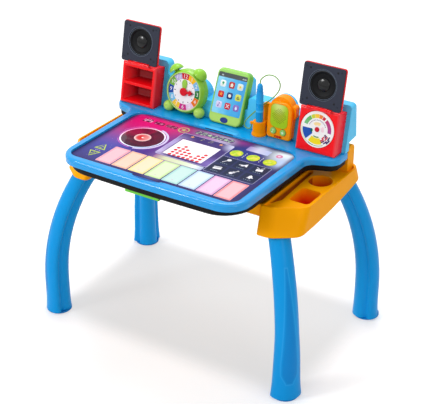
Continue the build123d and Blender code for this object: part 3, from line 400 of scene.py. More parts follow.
def disc(name, x, y, radius, low, high, edge=0.0, segments=40):
    """Round flat piece, in mm."""
    deselect_all()
    bpy.ops.mesh.primitive_circle_add(vertices=segments, radius=radius * MM, fill_type="NGON",
                                      location=(0.0, 0.0, 0.0))
    piece = named(bpy.context.object, name)
    edit_all()
    bpy.ops.transform.translate(value=(x * MM, y * MM, low * MM))
    raise_face(high - low, edge)
    return piece


def turned(name, profile, segments=48):
    """Body turned about the Z axis from a profile of (radius, height) points in mm."""
    points = [(r, 0.0, z) for r, z in profile]
    piece = first_point(name, *points[0])
    draw_through(points)
    bpy.ops.mesh.select_all(action="SELECT")
    bpy.ops.mesh.spin(steps=segments, angle=2 * pi, center=(0.0, 0.0, 0.0), axis=(0.0, 0.0, 1.0))
    bpy.ops.mesh.select_all(action="SELECT")
    bpy.ops.mesh.remove_doubles(threshold=0.000004)
    close_edit()
    return piece


def rounded(x0, x1, y0, y1, radius, steps=4):
    """Rectangle with round corners, as points."""
    points = []
    for cx, cy, start in ((x1 - radius, y0 + radius, -90), (x1 - radius, y1 - radius, 0),
                          (x0 + radius, y1 - radius, 90), (x0 + radius, y0 + radius, 180)):
        for i in range(steps + 1):
            angle = radians(start + 90.0 * i / steps)
            points.append((cx + radius * cos(angle), cy + radius * sin(angle)))
    return points


def band(x, y, inner, outer, start, end, steps=12):
    """Arc-shaped band between two radii, from start to end degrees, as points."""
    angles = [radians(start + (end - start) * i / steps) for i in range(steps + 1)]
    rim = [(x + outer * cos(a), y + outer * sin(a)) for a in angles]
    return rim + [(x + inner * cos(a), y + inner * sin(a)) for a in reversed(angles)]


def holed(outer, inner):
    """One loop round an outline and back round a hole in it."""
    return outer + outer[:1] + inner[:1] + inner[:0:-1]


def lettering(name, text, x, y, size, low):
    """Plain numbers as a thin raised mesh."""
    deselect_all()
    bpy.ops.object.text_add(location=(0.0, 0.0, 0.0))
    piece = bpy.context.object
    piece.data.body = text
    piece.data.size = size * MM
    piece.data.align_x = "CENTER"
    piece.data.align_y = "CENTER"
    piece.data.extrude = 0.06 * MM
    piece.data.resolution_u = 4
    bpy.ops.object.convert(target="MESH")
    return settle(named(bpy.context.object, name), shift(x, y, low))


def shift(x, y, z):
    return Matrix.Translation(Vector((x, y, z)) * MM)


def slope(x, y, tilt):
    """Plane that leans back by tilt degrees from x, y on the shelf: x right, y up the slope, z out of it."""
    return shift(x, y, SHELF_TOP) @ Matrix.Rotation(radians(90.0 - tilt), 4, "X")


def settle(piece, matrix):
    """Puts a mesh in place and leaves its object at the origin."""
    pick(piece)
    piece.matrix_world = matrix @ piece.matrix_world
    bpy.ops.object.transform_apply(location=True, rotation=True, scale=True)
    return piece


def join(name, pieces):
    deselect_all()
    for piece in pieces:
        piece.select_set(True)
    bpy.context.view_layer.objects.active = pieces[0]
    if len(pieces) > 1:
        bpy.ops.object.join()
    return named(bpy.context.object, name)


def repeated(piece, count, step):
    """Copies of a piece in a row, a step in mm apart."""
    pick(piece)
    row = piece.modifiers.new("Row", "ARRAY")
    row.count = count
    row.use_relative_offset = False
    row.use_constant_offset = True
    row.constant_offset_displace = Vector(step) * MM
    bpy.ops.object.modifier_apply(modifier=row.name)
    return piece


def cover(piece, material):
    piece.data.materials.clear()
    piece.data.materials.append(material)


def dress(piece, material, body, replaces=(), angle=35.0):
    """Finish, smoothing, and the body that the piece moves with."""
    cover(piece, material)
    pick(piece)
    bpy.ops.object.shade_smooth_by_angle(angle=radians(angle))
    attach(piece, body)
    if replaces:
        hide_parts(*replaces)


def coat(material, *nodes):
    """Gives solids of the frame their finish."""
    for name in nodes:
        cover(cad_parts[name], material)


# ---------------------------------------------------------------- stage
class TABLE_OT_stage(bpy.types.Operator):
    """Camera, floor and soft studio light"""
    bl_idname = "table.stage"
    bl_label = "Stage"

    eye, down, turn = (1.22929, -1.88506, 1.50195), 28.444, 32.853
    lens, sensor, shift = 99.64, 36.0, (0.0151, 0.0026)
    lamps = (("overhead", (-0.5, 0.9, 2.7), 0.3, 1.3, 36.0), ("front_left", (-1.7, -2.4, 2.0), 0.3, 0.9, 32.0),
             ("spark", (-1.5, -2.5, 2.1), 0.4, 0.3, 9.0), ("front_right", (2.5, -1.4, 1.7), 0.3, 0.8, 6.0))

    def execute(self, context):
        camera = bpy.data.cameras.new("camera")
        camera.lens = self.lens
        camera.sensor_width = self.sensor
        camera.shift_x, camera.shift_y = self.shift
        camera.clip_end = 50.0
        holder = bpy.data.objects.new("camera", camera)
        holder.location = self.eye
        holder.rotation_euler = (radians(90.0 - self.down), 0.0, radians(self.turn))
        context.scene.collection.objects.link(holder)
        context.scene.camera = holder
        context.scene.view_settings.view_transform = "Standard"
        self.floor()
        self.world(context.scene)
        for lamp in self.lamps:
            self.lamp(context, *lamp)
        return {"FINISHED"}

    def lamp(self, context, name, place, aim, size, power):
        """Square soft box of a size in metres, that aims at a height over the middle of the floor."""
        data = bpy.data.lights.new(name, "AREA")
        data.size = size
        data.energy = power
        lamp = bpy.data.objects.new(name, data)
        lamp.location = place
        lamp.rotation_euler = (Vector((0.0, 0.0, aim)) - Vector(place)).to_track_quat("-Z", "Y").to_euler()
        context.scene.collection.objects.link(lamp)

    def floor(self):
        """Pale floor that looks white to the camera, with a painted shadow: a soft grey rectangle under the table."""
        deselect_all()
        bpy.ops.mesh.primitive_plane_add(size=14.0, location=(0.0, 0.0, -0.0004))
        floor = named(bpy.context.object, "floor")
        edit_all()
        bpy.ops.mesh.subdivide(number_cuts=6)
        bpy.ops.object.mode_set(mode="OBJECT")
        bpy.ops.object.transform_apply(location=True, rotation=True, scale=True)
        material = bpy.data.materials.new("floor")
        graph = empty_graph(material)
        cloud = graph.noise(graph.node("ShaderNodeTexCoord").outputs["Object"], 3.0)
        tone = graph.ramp(cloud, grey_stops((0.3, 0.78), (0.7, 0.82)))
        # Painted shadow under the table: the camera sees a darker matt grey there, evened out by stronger emission.
        clear = graph.border(graph.place((0.0, 30.0, 0.0)), 0.355, 0.24, 0.085)
        shade = graph.mix(clear, (0.27, 0.27, 0.27), tone)
        seen = graph.node("ShaderNodeLightPath").outputs["Is Camera Ray"]
        matt = graph.node("ShaderNodeBsdfDiffuse", {"Color": graph.mix(seen, tone, shade)}).outputs[0]
        strength = graph.times(seen, graph.spread(clear, 0.0, 1.0, 0.53, 0.34))
        lift = graph.node("ShaderNodeEmission", {"Color": (1, 1, 1, 1), "Strength": strength}).outputs[0]
        both = graph.node("ShaderNodeAddShader", {0: matt, 1: lift}).outputs[0]
        graph.node("ShaderNodeOutputMaterial", {"Surface": both})
        floor.data.materials.append(material)

    def world(self, scene):
        """Even light, and plain white wherever the camera, a reflection or a clear piece shows it."""
        world = bpy.data.worlds.new("studio")
        scene.world = world
        graph = empty_graph(world)
        rays = graph.node("ShaderNodeLightPath").outputs
        clear = graph.larger(rays["Is Glossy Ray"], rays["Is Transmission Ray"])
        white = graph.larger(rays["Is Camera Ray"], clear)
        strength = graph.spread(white, 0.0, 1.0, 0.67, 1.0)
        light = graph.node("ShaderNodeBackground", {"Color": (1, 1, 1, 1), "Strength": strength}).outputs[0]
        graph.node("ShaderNodeOutputWorld", {"Surface": light})


# ---------------------------------------------------------------- pieces
class TABLE_OT_cord(bpy.types.Operator):
    """Limp cord from the pen's end over its loop to the eye beside the cup"""
    bl_idname = "table.cord"
    bl_label = "Pen cord"

    route = ((81.5, 82, 548), (81.5, 82, 554.5), (86, 82.6, 561.5), (97, 84.5, 570.5), (113.5, 87, 570.5),
             (125, 89, 558), (123.5, 90.6, 541), (112, 92.3, 524), (96.5, 94.3, 508.5), (80, 95.5, 494),
             (66, 92.5, 479.5), (54.5, 88.5, 466.5), (46.5, 85, 456.5), (43.9, 83, 448.6), (46.9, 82, 442.6),
             (52.9, 82, 440), (59.2, 82, 441.9), (62.5, 82, 447.6), (62.5, 82, 454))

    def line(self, name, bevel):
        """The route as a smooth curve, round where it has a bevel."""
        data = bpy.data.curves.new(name, "CURVE")
        data.dimensions = "3D"
        data.resolution_u = 12
        data.bevel_depth = bevel
        data.bevel_resolution = 4
        data.use_fill_caps = True
        spline = data.splines.new("NURBS")
        spline.points.add(len(self.route) - 1)
        for point, (x, y, z) in zip(spline.points, self.route):
            point.co = (x * MM, y * MM, z * MM, 1.0)
        spline.order_u = 3
        spline.use_endpoint_u = True
        made = bpy.data.objects.new(name, data)
        bpy.context.scene.collection.objects.link(made)
        return made

    def execute(self, context):
        guide = self.line("cord_line", 0.0)
        context.view_layer.update()
        mesh = bpy.data.meshes.new_from_object(guide.evaluated_get(context.evaluated_depsgraph_get()))
        bpy.data.objects.remove(guide)
        bpy.data.meshes.remove(mesh)
        pick(self.line("pen_line", 1.25 * MM))
        bpy.ops.object.convert(target="MESH")
        cord = named(context.object, "pen_line")
        for face in cord.data.polygons:
            face.use_smooth = True
        rubber = finish_material("cord_rubber", context.scene.table_paints.cord, roughness=0.42, mottle=0.06,
                                 grain=2200.0, bump=0.1)
        cover(cord, rubber)
        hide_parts("pen_cord")
        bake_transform(cord)
        return {"FINISHED"}


class TABLE_OT_legs(bpy.types.Operator):
    """Four bent legs of a wide outer lobe and a narrower inner one, with a groove down each side"""
    bl_idname = "table.legs"
    bl_label = "Legs"

    spots = (("leg_front_right", (293.7, -155.3), (-0.731, 0.682), 457.0),
             ("leg_front_left", (-293.7, -155.3), (0.731, 0.682), 457.0),
             ("leg_rear_right", (299.2, 195.6), (-0.751, -0.660), 523.0),
             ("leg_rear_left", (-299.2, 195.6), (0.751, -0.660), 523.0))
    foot_rings = (12.0, 25.0, 40.0, 55.0)
    base, knee, shoulder, plug = 4.0, 80.0, 335.0, 20.0
    panel_low, panel_high = 0.040, 0.285

    def section(self, outer, inner):
        """Outline as (outwards, sideways) shares of the leg's radius, from half of it."""
        wide, slim = outer / 28.0, inner / 18.0
        half = [(28.9, 0.0), (28.4, 6.0 * wide), (26.4, 12.0 * wide), (22.8, 18.0 * wide), (17.6, 23.2 * wide),
                (11.5, 26.6 * wide), (5.0, 28.2 * wide), (1.2, 27.4 * wide), (-1.0, 25.0 * wide),
                (-2.0, 22.0 * wide), (-2.6, 19.6 * slim), (-4.6, 17.9 * slim), (-8.5, 18.2 * slim),
                (-13.0, 17.9 * slim), (-18.0, 16.2 * slim), (-22.5, 12.6 * slim), (-26.0, 7.4 * slim),
                (-27.4, 2.6 * slim)]
        return half + [(u, -v) for u, v in reversed(half) if v > 0.1]

    def radius(self, z):
        """Outward radius of the leg at height z, in mm."""
        if z < 90.0:
            share = max(0.0, (50.0 - z) / 50.0)
            return 27.4 + 2.0 * share * share
        return 27.4 - 3.4 * min(1.0, (z - 90.0) / 225.0)

    def widening(self, name, z):
        """How much wider than deep the leg is at height z."""
        low = max(0.0, (150.0 - z) / 150.0)
        return 1.08 + 0.10 * low if "rear" in name else 0.98 + 0.20 * low

    def step(self, move):
        bpy.ops.mesh.extrude_region_move(TRANSFORM_OT_translate={"value": Vector(move) * MM})

    def size(self, name, turn, low, high, centre):
        """Sizes the newest ring of the leg from its size at height low to its size at height high."""
        share = self.radius(high) / self.radius(low)
        across = share * self.widening(name, high) / self.widening(name, low)
        axes = ((turn[0], turn[1], 0.0), (-turn[1], turn[0], 0.0), (0.0, 0.0, 1.0))
        bpy.ops.transform.resize(value=(share, across, share), orient_type="GLOBAL", orient_matrix_type="GLOBAL",
                                 orient_matrix=axes, center_override=Vector(centre) * MM)

    def leg(self, name, foot, turn, bend, sizes):
        """Draws the section at the foot, then takes it up to the knee, round the bend and into the tray."""
        length = sqrt(turn[0] ** 2 + turn[1] ** 2)
        tx, ty = turn[0] / length, turn[1] / length
        start = self.radius(self.base) / 29.1
        wider = self.widening(name, self.base)
        section = self.section(sizes.leg_outer / MM, sizes.leg_inner / MM)
        points = [(foot[0] - (tx * u + ty * v * wider) * start, foot[1] - (ty * u - tx * v * wider) * start,
                   self.base) for u, v in section]
        piece = first_point(name + "_shell", *points[0])
        draw_through(points)
        bpy.ops.mesh.select_all(action="SELECT")
        bpy.ops.mesh.edge_face_add()
        level = self.base
        for z in (*self.foot_rings, self.knee):
            self.step((0.0, 0.0, z - level))
            self.size(name, (tx, ty), level, z, (foot[0], foot[1], z))
            level = z
        total = asin((self.shoulder - self.knee) / bend)
        centre = (foot[0] + tx * bend, foot[1] + ty * bend, self.knee)
        for i in range(1, sizes.leg_steps + 1):
            bpy.ops.mesh.spin(steps=1, angle=total / sizes.leg_steps, center=Vector(centre) * MM,
                              axis=(ty, -tx, 0.0))
            angle = total * i / sizes.leg_steps
            z = self.knee + bend * sin(angle)
            spot = (centre[0] - tx * bend * cos(angle), centre[1] - ty * bend * cos(angle), z)
            self.size(name, (tx, ty), level, z, spot)
            level = z
        run = self.plug / cos(total)
        ahead = Vector((tx * sin(total) * run, ty * sin(total) * run, self.plug))
        self.step(ahead)
        bpy.ops.transform.resize(value=(0.97,) * 3, center_override=(Vector(spot) + ahead) * MM)
        close_edit()
        self.mark(piece, foot, (tx, ty), bend)
        return piece

    def mark(self, piece, foot, turn, bend):
        """Stores how far across the leg, and how far outwards from its middle line, each point lies."""
        across = piece.data.attributes.new("leg_across", "FLOAT", "POINT")
        outward = piece.data.attributes.new("leg_outward", "FLOAT", "POINT")
        for vertex in piece.data.vertices:
            x, y, z = vertex.co.x - foot[0] * MM, vertex.co.y - foot[1] * MM, vertex.co.z
            rise = max(0.0, z - self.knee * MM)
            shift = bend * MM - sqrt((bend * MM) ** 2 - rise ** 2)
            across.data[vertex.index].value = abs(x * turn[1] - y * turn[0])
            outward.data[vertex.index].value = shift - x * turn[0] - y * turn[1]

    def execute(self, context):
        paints, sizes = context.scene.table_paints, context.scene.table_sizes

        def panel(graph):
            """Long sunk panel on the outside, wide at the foot and slim at the top, painted darker as the recess's
            shade, with a pale line of painted highlight round it.
            """
            height = graph.axes(graph.place())[2]
            across = graph.node("ShaderNodeAttribute", attribute_name="leg_across").outputs["Fac"]
            outward = graph.node("ShaderNodeAttribute", attribute_name="leg_outward").outputs["Fac"]
            slim = graph.spread(height, 0.09, self.panel_high, 0.018, 0.003)
            foot = graph.spread(height, 0.036, 0.066, 0.011, 0.0, "SMOOTHSTEP")
            past = graph.minus(across, graph.minus(slim, foot))
            past = graph.larger(past, graph.minus(self.panel_low, height))
            past = graph.larger(past, graph.minus(height, self.panel_high))
            face = graph.spread(outward, 0.003, 0.008, 0.0, 1.0)
            # Painted shade: the panel's inside is darker, as a recess in shadow.
            inside = graph.times(graph.spread(past, -0.005, 0.0, 0.45, 0.0), face)
            colour = graph.mix(inside, paints.legs, paint(0, 108, 190))
            # Painted highlight: a pale line round the panel's rim.
            line = graph.spread(graph.maths("ABSOLUTE", past), 0.0004, 0.002, 0.2, 0.0)
            return graph.mix(graph.times(line, face), colour, paint(70, 180, 240))
        blue = moulded("leg_plastic", paints.legs, roughness=0.3, base=panel)
        for name, foot, turn, bend in self.spots:
            piece = self.leg(name, foot, turn, bend, sizes)
            dress(piece, blue, "base", replaces=(name,), angle=50.0)
        coat(finish_material("pad_rubber", paint(10, 126, 200), roughness=0.6, grain=1500.0, bump=0.25), "foot_pads")
        return {"FINISHED"}


class TABLE_OT_tray(bpy.types.Operator):
    """Storage tray, its bumpers and hinge pins"""
    bl_idname = "table.tray"
    bl_label = "Tray"

    # Side hollows, in metres: the inner edge, then the other edges as a direction and how far it reaches.
    inner = 0.2035
    edges = ((1.0, 0.0, 0.2815), (0.0, 1.0, 0.1485), (0.164, -0.986, 0.1388), (0.537, -0.844, 0.2093))

    def execute(self, context):
        paints = context.scene.table_paints

        def hollows(graph):
            """Deeper orange painted down the side hollows as their shade, and a painted shadow low in their gutter
            beside the desk.
            """
            parts = graph.axes(graph.place())
            across = graph.maths("ABSOLUTE", parts[0])
            past = graph.minus(self.inner, across)
            for u, v, reach in self.edges:
                along = graph.plus(graph.times(across, u), graph.times(parts[1], v))
                past = graph.larger(past, graph.minus(along, reach))
            inside = graph.spread(past, -0.0004, 0.0004, 1.0, 0.0)
            # Painted shade: deeper orange low in the side hollows.
            deep = graph.times(inside, graph.spread(parts[2], 0.352, 0.3815, 1.0, 0.0))
            colour = graph.mix(deep, paints.tray, paint(240, 58, 14))
            # Painted shadow: darker low in the gutter under the desk's edge.
            gutter = graph.times(graph.spread(across, 0.2225, 0.2235, 1.0, 0.0),
                                 graph.spread(parts[2], 0.377, 0.3825, 0.75, 0.0))
            return graph.mix(graph.times(gutter, inside), colour, paint(150, 50, 22))
        coat(moulded("tray_plastic", paints.tray, roughness=0.34, edge=1.6, base=hollows, shine=0.05), "base_tray")
        rubber = finish_material("bumper_rubber", paint(60, 62, 66), roughness=0.7, grain=1500.0, bump=0.3)
        coat(rubber, "tray_bumpers")
        coat(metal("pin_steel", (0.55, 0.56, 0.58)), "lid_hinge_pins", "door_hinge_pins", "clip_pin", "clip_spring")
        coat(metal("screw_steel", (0.4, 0.41, 0.43)), "shell_screws", "cover_screws")
        return {"FINISHED"}


class TABLE_OT_desk(bpy.types.Operator):
    """Desk top, writing board, back wall and cover"""
    bl_idname = "table.desk"
    bl_label = "Desk top"

    def execute(self, context):
        paints = context.scene.table_paints
        desk = moulded("desk_plastic", paints.desk, roughness=0.2, edge=2.2, shine=0.3, coat_weight=0.35)
        coat(desk, "desktop_shell")
        wall = moulded("wall_plastic", paint(76, 202, 252), roughness=0.26, edge=1.6, coat_weight=0.25)
        coat(wall, "back_wall", "back_cover", "battery_door")
        coat(finish_material("board_black", paints.board, roughness=0.55, mottle=0.25, smear=0.25, grain=700.0,
                             bump=0.15, edge=0.8), "chalkboard")
        coat(moulded("clip_plastic", paint(110, 200, 70), roughness=0.35), "paper_clip")
        coat(moulded("mount_plastic", paint(26, 27, 30), roughness=0.5), "clip_mount", "battery_box")
        return {"FINISHED"}


# ---------------------------------------------------------------- small signs
def dot(x, y, radius, count=10):
    """Round dot with that many corners."""
    return [(x + radius * cos(2 * pi * i / count), y + radius * sin(2 * pi * i / count)) for i in range(count)]


def bar(x0, y0, x1, y1, width):
    """Straight bar between two points."""
    length = sqrt((x1 - x0) ** 2 + (y1 - y0) ** 2)
    u, v = (x1 - x0) / length * width / 2, (y1 - y0) / length * width / 2
    return [(x0 + v, y0 - u), (x1 + v, y1 - u), (x1 - v, y1 + u), (x0 - v, y0 + u)]


def star():
    """Star with five points."""
    radii = [0.46 if i % 2 == 0 else 0.2 for i in range(10)]
    return [(r * cos(pi * i / 5 + pi / 2), r * sin(pi * i / 5 + pi / 2)) for i, r in enumerate(radii)]


# Small signs as outlines in a square of side 1 about its middle.
SIGNS = {
    "note": [dot(-0.16, -0.3, 0.17), bar(-0.03, -0.3, -0.03, 0.42, 0.09), bar(-0.03, 0.36, 0.28, 0.18, 0.15)],
    "two_notes": [dot(-0.3, -0.32, 0.14), dot(0.2, -0.26, 0.14), bar(-0.19, -0.32, -0.19, 0.3, 0.07),
                  bar(0.31, -0.26, 0.31, 0.38, 0.07), bar(-0.22, 0.3, 0.34, 0.37, 0.14)],
    "drum": [bar(-0.36, -0.12, 0.36, -0.12, 0.46), bar(-0.08, 0.2, -0.42, 0.46, 0.08),
             bar(0.08, 0.2, 0.42, 0.46, 0.08)],
    "guitar": [dot(-0.22, -0.22, 0.23, 12), dot(0.0, 0.0, 0.17), bar(0.0, 0.0, 0.38, 0.38, 0.09),
               bar(0.28, 0.44, 0.44, 0.28, 0.13)],
    "horn": [[(-0.46, -0.05), (0.1, -0.09), (0.44, -0.34), (0.44, 0.34), (0.1, 0.09), (-0.46, 0.05)],
             bar(-0.2, -0.16, 0.08, -0.16, 0.14)],
    "keys": [bar(-0.44, -0.13, 0.44, -0.13, 0.32), bar(-0.44, 0.2, 0.44, 0.2, 0.14)],
    "maraca": [dot(0.16, 0.18, 0.25, 12), bar(0.05, 0.05, -0.4, -0.4, 0.09)],
    "bell": [[(-0.36, -0.24), (0.36, -0.24), (0.22, -0.06), (0.18, 0.18), (0.0, 0.38), (-0.18, 0.18),
              (-0.22, -0.06)], dot(0.0, -0.34, 0.09)],
    "star": [star()],
    "sun": [dot(0.0, 0.0, 0.26, 12)] + [bar(0.33 * cos(a), 0.33 * sin(a), 0.47 * cos(a), 0.47 * sin(a), 0.08)
                                        for a in (0.0, pi / 3, 2 * pi / 3, pi, -pi / 3, -2 * pi / 3)],
    "house": [[(-0.3, -0.36), (0.3, -0.36), (0.3, 0.04), (-0.3, 0.04)], [(-0.42, 0.04), (0.42, 0.04), (0.0, 0.42)]],
    "ball": [dot(0.0, 0.0, 0.36, 16)],
    "boat": [[(-0.42, -0.1), (-0.26, -0.34), (0.26, -0.34), (0.42, -0.1)], [(-0.04, 0.0), (-0.04, 0.42), (-0.36, 0.0)],
             [(0.06, 0.0), (0.32, 0.0), (0.06, 0.32)]],
    "tree": [dot(0.0, 0.12, 0.28, 12), bar(0.0, -0.1, 0.0, -0.42, 0.12)],
    "cross": [bar(-0.36, -0.36, 0.36, 0.36, 0.15), bar(-0.36, 0.36, 0.36, -0.36, 0.15)],
}


def sign(name, kind, x, y, size, low, high, turn=0.0):
    """One of the small signs, at its place and size in mm."""
    c, s = cos(radians(turn)) * size, sin(radians(turn)) * size
    return join(name, [plate(name, [(x + u * c - v * s, y + u * s + v * c) for u, v in outline], low, high)
                       for outline in SIGNS[kind]])


def frame_line(name, x0, x1, y0, y1, radius, width, low, high):
    """Thin line round a rectangle with round corners."""
    outer = rounded(x0, x1, y0, y1, radius)
    inner = rounded(x0 + width, x1 - width, y0 + width, y1 - width, max(radius - width, 0.2))
    return plate(name, holed(outer, inner), low, high)


class TABLE_OT_page(bpy.types.Operator):
    """Printed activity page: ground, keys, record, display, buttons and signs"""
    bl_idname = "table.page"
    bl_label = "Activity page"

    glows = (((-150, -100), 130, (66, 66, 160)), ((-40, -60), 120, (92, 48, 140)), ((-175, 40), 175, (214, 14, 108)),
             ((-120, 44), 110, (226, 20, 116)), ((0, 38), 62, (196, 132, 184)), ((36, 30), 44, (196, 180, 210)),
             ((74, 44), 40, (150, 40, 130)), ((110, 0), 62, (44, 52, 136)), ((176, 26), 54, (228, 240, 248)),
             ((186, -6), 40, (180, 200, 236)), ((120, 36), 30, (196, 206, 236)), ((-5, -112), 74, (150, 120, 170)),
             ((0, -208), 30, (110, 110, 160)))
    bezel_glows = (((-62, 0), 60, (176, 160, 214)), ((-60, -40), 34, (190, 176, 220)),
                   ((62, -40), 40, (120, 96, 176)), ((66, 52), 34, (206, 206, 236)))
    key_paints = (((240, 186, 196), (232, 130, 154)), ((240, 204, 184), (240, 156, 120)),
                  ((240, 220, 188), (240, 214, 96)), ((216, 230, 194), (180, 220, 120)),
                  ((196, 224, 220), (140, 206, 202)), ((214, 228, 244), (156, 194, 236)),
                  ((228, 196, 224), (210, 128, 194)), ((240, 186, 194), (240, 90, 100)))
    record_centre = (-118.2, -57.6)
    button_row, button_y = (86.0, 125.6, 164.2), -15.0
    lit_counts = (4, 5, 4, 3, 2, 3, 4)

    def execute(self, context):
        paints, sizes = context.scene.table_paints, context.scene.table_sizes
        top = PAGE_TOP + sizes.print_height / MM
        coat(self.ground(paints), "activity_page")
        marks = [self.key(index, body, edge, top, sizes) for index, (body, edge) in enumerate(self.key_paints)]
        self.printed(join("key_signs", marks), "key_sign_ink", (212, 190, 204))
        self.record(top, sizes.record / MM)
        self.display(top)
        self.lights(sizes)
        self.buttons(top)
        self.instruments(top)
        self.signs(top)
        return {"FINISHED"}

    def printed(self, piece, name, mixed, **more):
        """Part of the page's print, in an ink of its own."""
        dress(piece, ink(name, paint(*mixed), **more), "page")

    def sign_row(self, name, ink_name, mixed, items, y, size, low, high):
        """Small signs at one height on the page, each a kind and its x."""
        row = [sign(name, kind, x, y, size, low, high) for kind, x in items]
        self.printed(join(name, row), ink_name, mixed)

    def glowing(self, graph, place, colour, spots):
        """Colour with soft spots of other colours over it."""
        for (x, y), radius, mixed in spots:
            colour = graph.mix(graph.spot(place, (x * MM, y * MM, 0.0), radius * MM), colour, paint(*mixed))
        return colour

    def across(self, graph, x, y, half, *stops):
        """Colours from left to right about x, y."""
        along = graph.axes(graph.place((x, y, PAGE_TOP)))[0]
        return graph.ramp(graph.spread(along, -half, half, 0.0, 1.0), mixed_stops(*stops))

    def ground(self, paints):
        def base(graph):
            place = graph.place((0.0, 0.0, PAGE_TOP))
            colour = self.glowing(graph, place, paints.page, self.glows)
            stars = graph.node("ShaderNodeTexVoronoi", {"Vector": place, "Scale": 90.0}).outputs["Distance"]
            spark = graph.spread(stars, 0.03, 0.1, 0.4, 0.0, "SMOOTHSTEP")
            colour = graph.mix(spark, colour, (0.75, 0.7, 0.95))
            rim = graph.border(graph.place((0.0, -80.7, PAGE_TOP)), 199.0 * MM, 127.0 * MM, 15.0 * MM)
            return graph.mix(graph.times(rim, 0.92), colour, paint(34, 30, 86))
        return ink("page_ground", paints.page, base=base)

    def key(self, index, body, edge, top, sizes):
        pitch, length = sizes.key_pitch / MM, sizes.key_length / MM
        width = pitch - 2.6
        x0 = -138.3 + index * pitch
        middle = (x0 + width / 2, -157.8, PAGE_TOP)
        near = middle[1] - length / 2

        def base(graph):
            size = (graph.place(middle), width / 2 * MM, length / 2 * MM)
            wide, thin = graph.border(*size, 7.0 * MM), graph.border(*size, 1.2 * MM)
            colour = graph.mix(graph.times(wide, 0.85), paint(*body), paint(*edge))
            return graph.mix(graph.times(thin, 0.5), colour, (1.0, 1.0, 1.0))
        outline = rounded(x0, x0 + width, near, middle[1] + length / 2, 1.6, 3)
        self.printed(plate(f"key_{index + 1}", outline, PAGE_TOP, top), f"key_ink_{index + 1}", body, base=base)
        return sign(f"key_sign_{index + 1}", "ball", middle[0], near + 12.0, 4.2, top - 0.05, top + 0.05)

    def record(self, top, radius):
        x, y = self.record_centre

        def polar(graph):
            return graph.polar(graph.place((x, y, PAGE_TOP)))

        def grooves(graph):
            found = polar(graph)
            groove = graph.maths("SINE", graph.times(found["Radius"], 4200.0))
            dark = graph.mix(graph.spread(groove, -1.0, 1.0, 0.0, 1.0), paint(30, 14, 34), paint(58, 34, 60))
            shine = graph.ramp(found["Turn"], grey_stops((0.0, 0.1), (0.12, 0.25), (0.2, 0.1), (0.24, 0.75),
                                                         (0.29, 0.35), (0.38, 0.95), (0.47, 0.7), (0.56, 0.1),
                                                         (0.95, 0.1)))
            return graph.mix(shine, dark, paint(150, 14, 64))

        def halo(graph):
            return graph.ramp(polar(graph)["Turn"], mixed_stops(
                (0.0, 226, 224, 250), (0.16, 250, 240, 250), (0.4, 240, 130, 190), (0.62, 255, 244, 255),
                (0.84, 190, 214, 246), (0.97, 214, 222, 248)))

        def label(graph):
            found = polar(graph)
            rings = graph.ramp(graph.maths("DIVIDE", found["Radius"], 18.0 * MM), mixed_stops(
                (0.0, 240, 214, 210), (0.12, 236, 170, 166), (0.2, 206, 40, 44), (0.62, 206, 66, 72),
                (0.78, 214, 130, 136), (0.94, 236, 206, 206)))
            pale = graph.ramp(found["Turn"], grey_stops((0.0, 0.75), (0.2, 0.5), (0.4, 0.0), (0.75, 0.0), (0.95, 0.7)))
            return graph.mix(graph.times(pale, 0.6), rings, paint(236, 180, 176))
        ring = plate("record_halo", band(x, y, radius - 1.0, radius + 2.2, 0, 359.9, 64), PAGE_TOP, top)
        self.printed(ring, "halo_ink", (240, 200, 235), base=halo)
        body = disc("record_print", x, y, radius - 0.9, PAGE_TOP, top - 0.02, segments=64)
        self.printed(body, "record_ink", (40, 20, 40), base=grooves, coat_weight=0.5)
        middle = disc("record_label", x, y, 18.0, top - 0.05, top + 0.08, segments=40)
        self.printed(middle, "label_ink", (226, 60, 84), base=label)
        spindle = turned("record_spindle", [(0.0, top), (2.0, top), (1.7, top + 0.2), (0.0, top + 0.3)], 16)
        self.printed(settle(spindle, shift(x, y, 0.0)), "spindle_ink", (250, 244, 244))
        crescent = plate("record_crescent", band(x + 1.6, y, radius + 2.6, radius + 7.6, -80, 75, 24), PAGE_TOP, top)
        self.printed(crescent, "crescent_ink", (206, 196, 232))
        arcs = [plate("arc", band(x, y, radius + a, radius + a + w, b, c, 24), PAGE_TOP, top)
                for a, w, b, c in ((4.0, 1.2, 86, 196), (4.2, 1.6, 214, 272), (8.0, 0.8, 112, 170))]
        self.printed(join("record_arcs", arcs), "arc_ink", (206, 110, 190))

    def display(self, top):
        def bezel(graph):
            return self.glowing(graph, graph.place((4.6, -46.0, PAGE_TOP)), paint(64, 42, 112), self.bezel_glows)

        def fade(graph):
            return self.across(graph, 8.0, -112.0, 0.058, (0.0, 150, 96, 150), (0.22, 206, 210, 170),
                               (0.6, 214, 224, 190), (0.85, 226, 236, 232), (1.0, 170, 180, 214))
        loop = holed(rounded(-57.0, 67.5, -101.5, 9.5, 5.0), rounded(-45.3, 50.3, -93.3, -14.7, 0.6, 1))
        self.printed(plate("display_frame", loop, PAGE_TOP, top - 0.03), "bezel_ink", (90, 70, 150), base=bezel)
        edge = frame_line("display_edge", -57.4, 67.9, -101.9, 9.9, 5.2, 0.9, PAGE_TOP, top + 0.03)
        self.printed(edge, "edge_ink", (206, 200, 236))
        strip = plate("light_strip", rounded(-50.0, 66.0, -119.2, -104.4, 3.0), PAGE_TOP, top)
        self.printed(strip, "strip_ink", (210, 216, 186), base=fade)
        rows = (("display_stars", "star_ink", (236, 160, 90), (("star", -31.5), ("star", 39.0))),
                ("display_notes", "note_ink", (150, 146, 120), (("note", -6.0), ("two_notes", 14.0))))
        for row in rows:
            self.sign_row(*row, 1.0, 11.0, top - 0.05, top + 0.04)

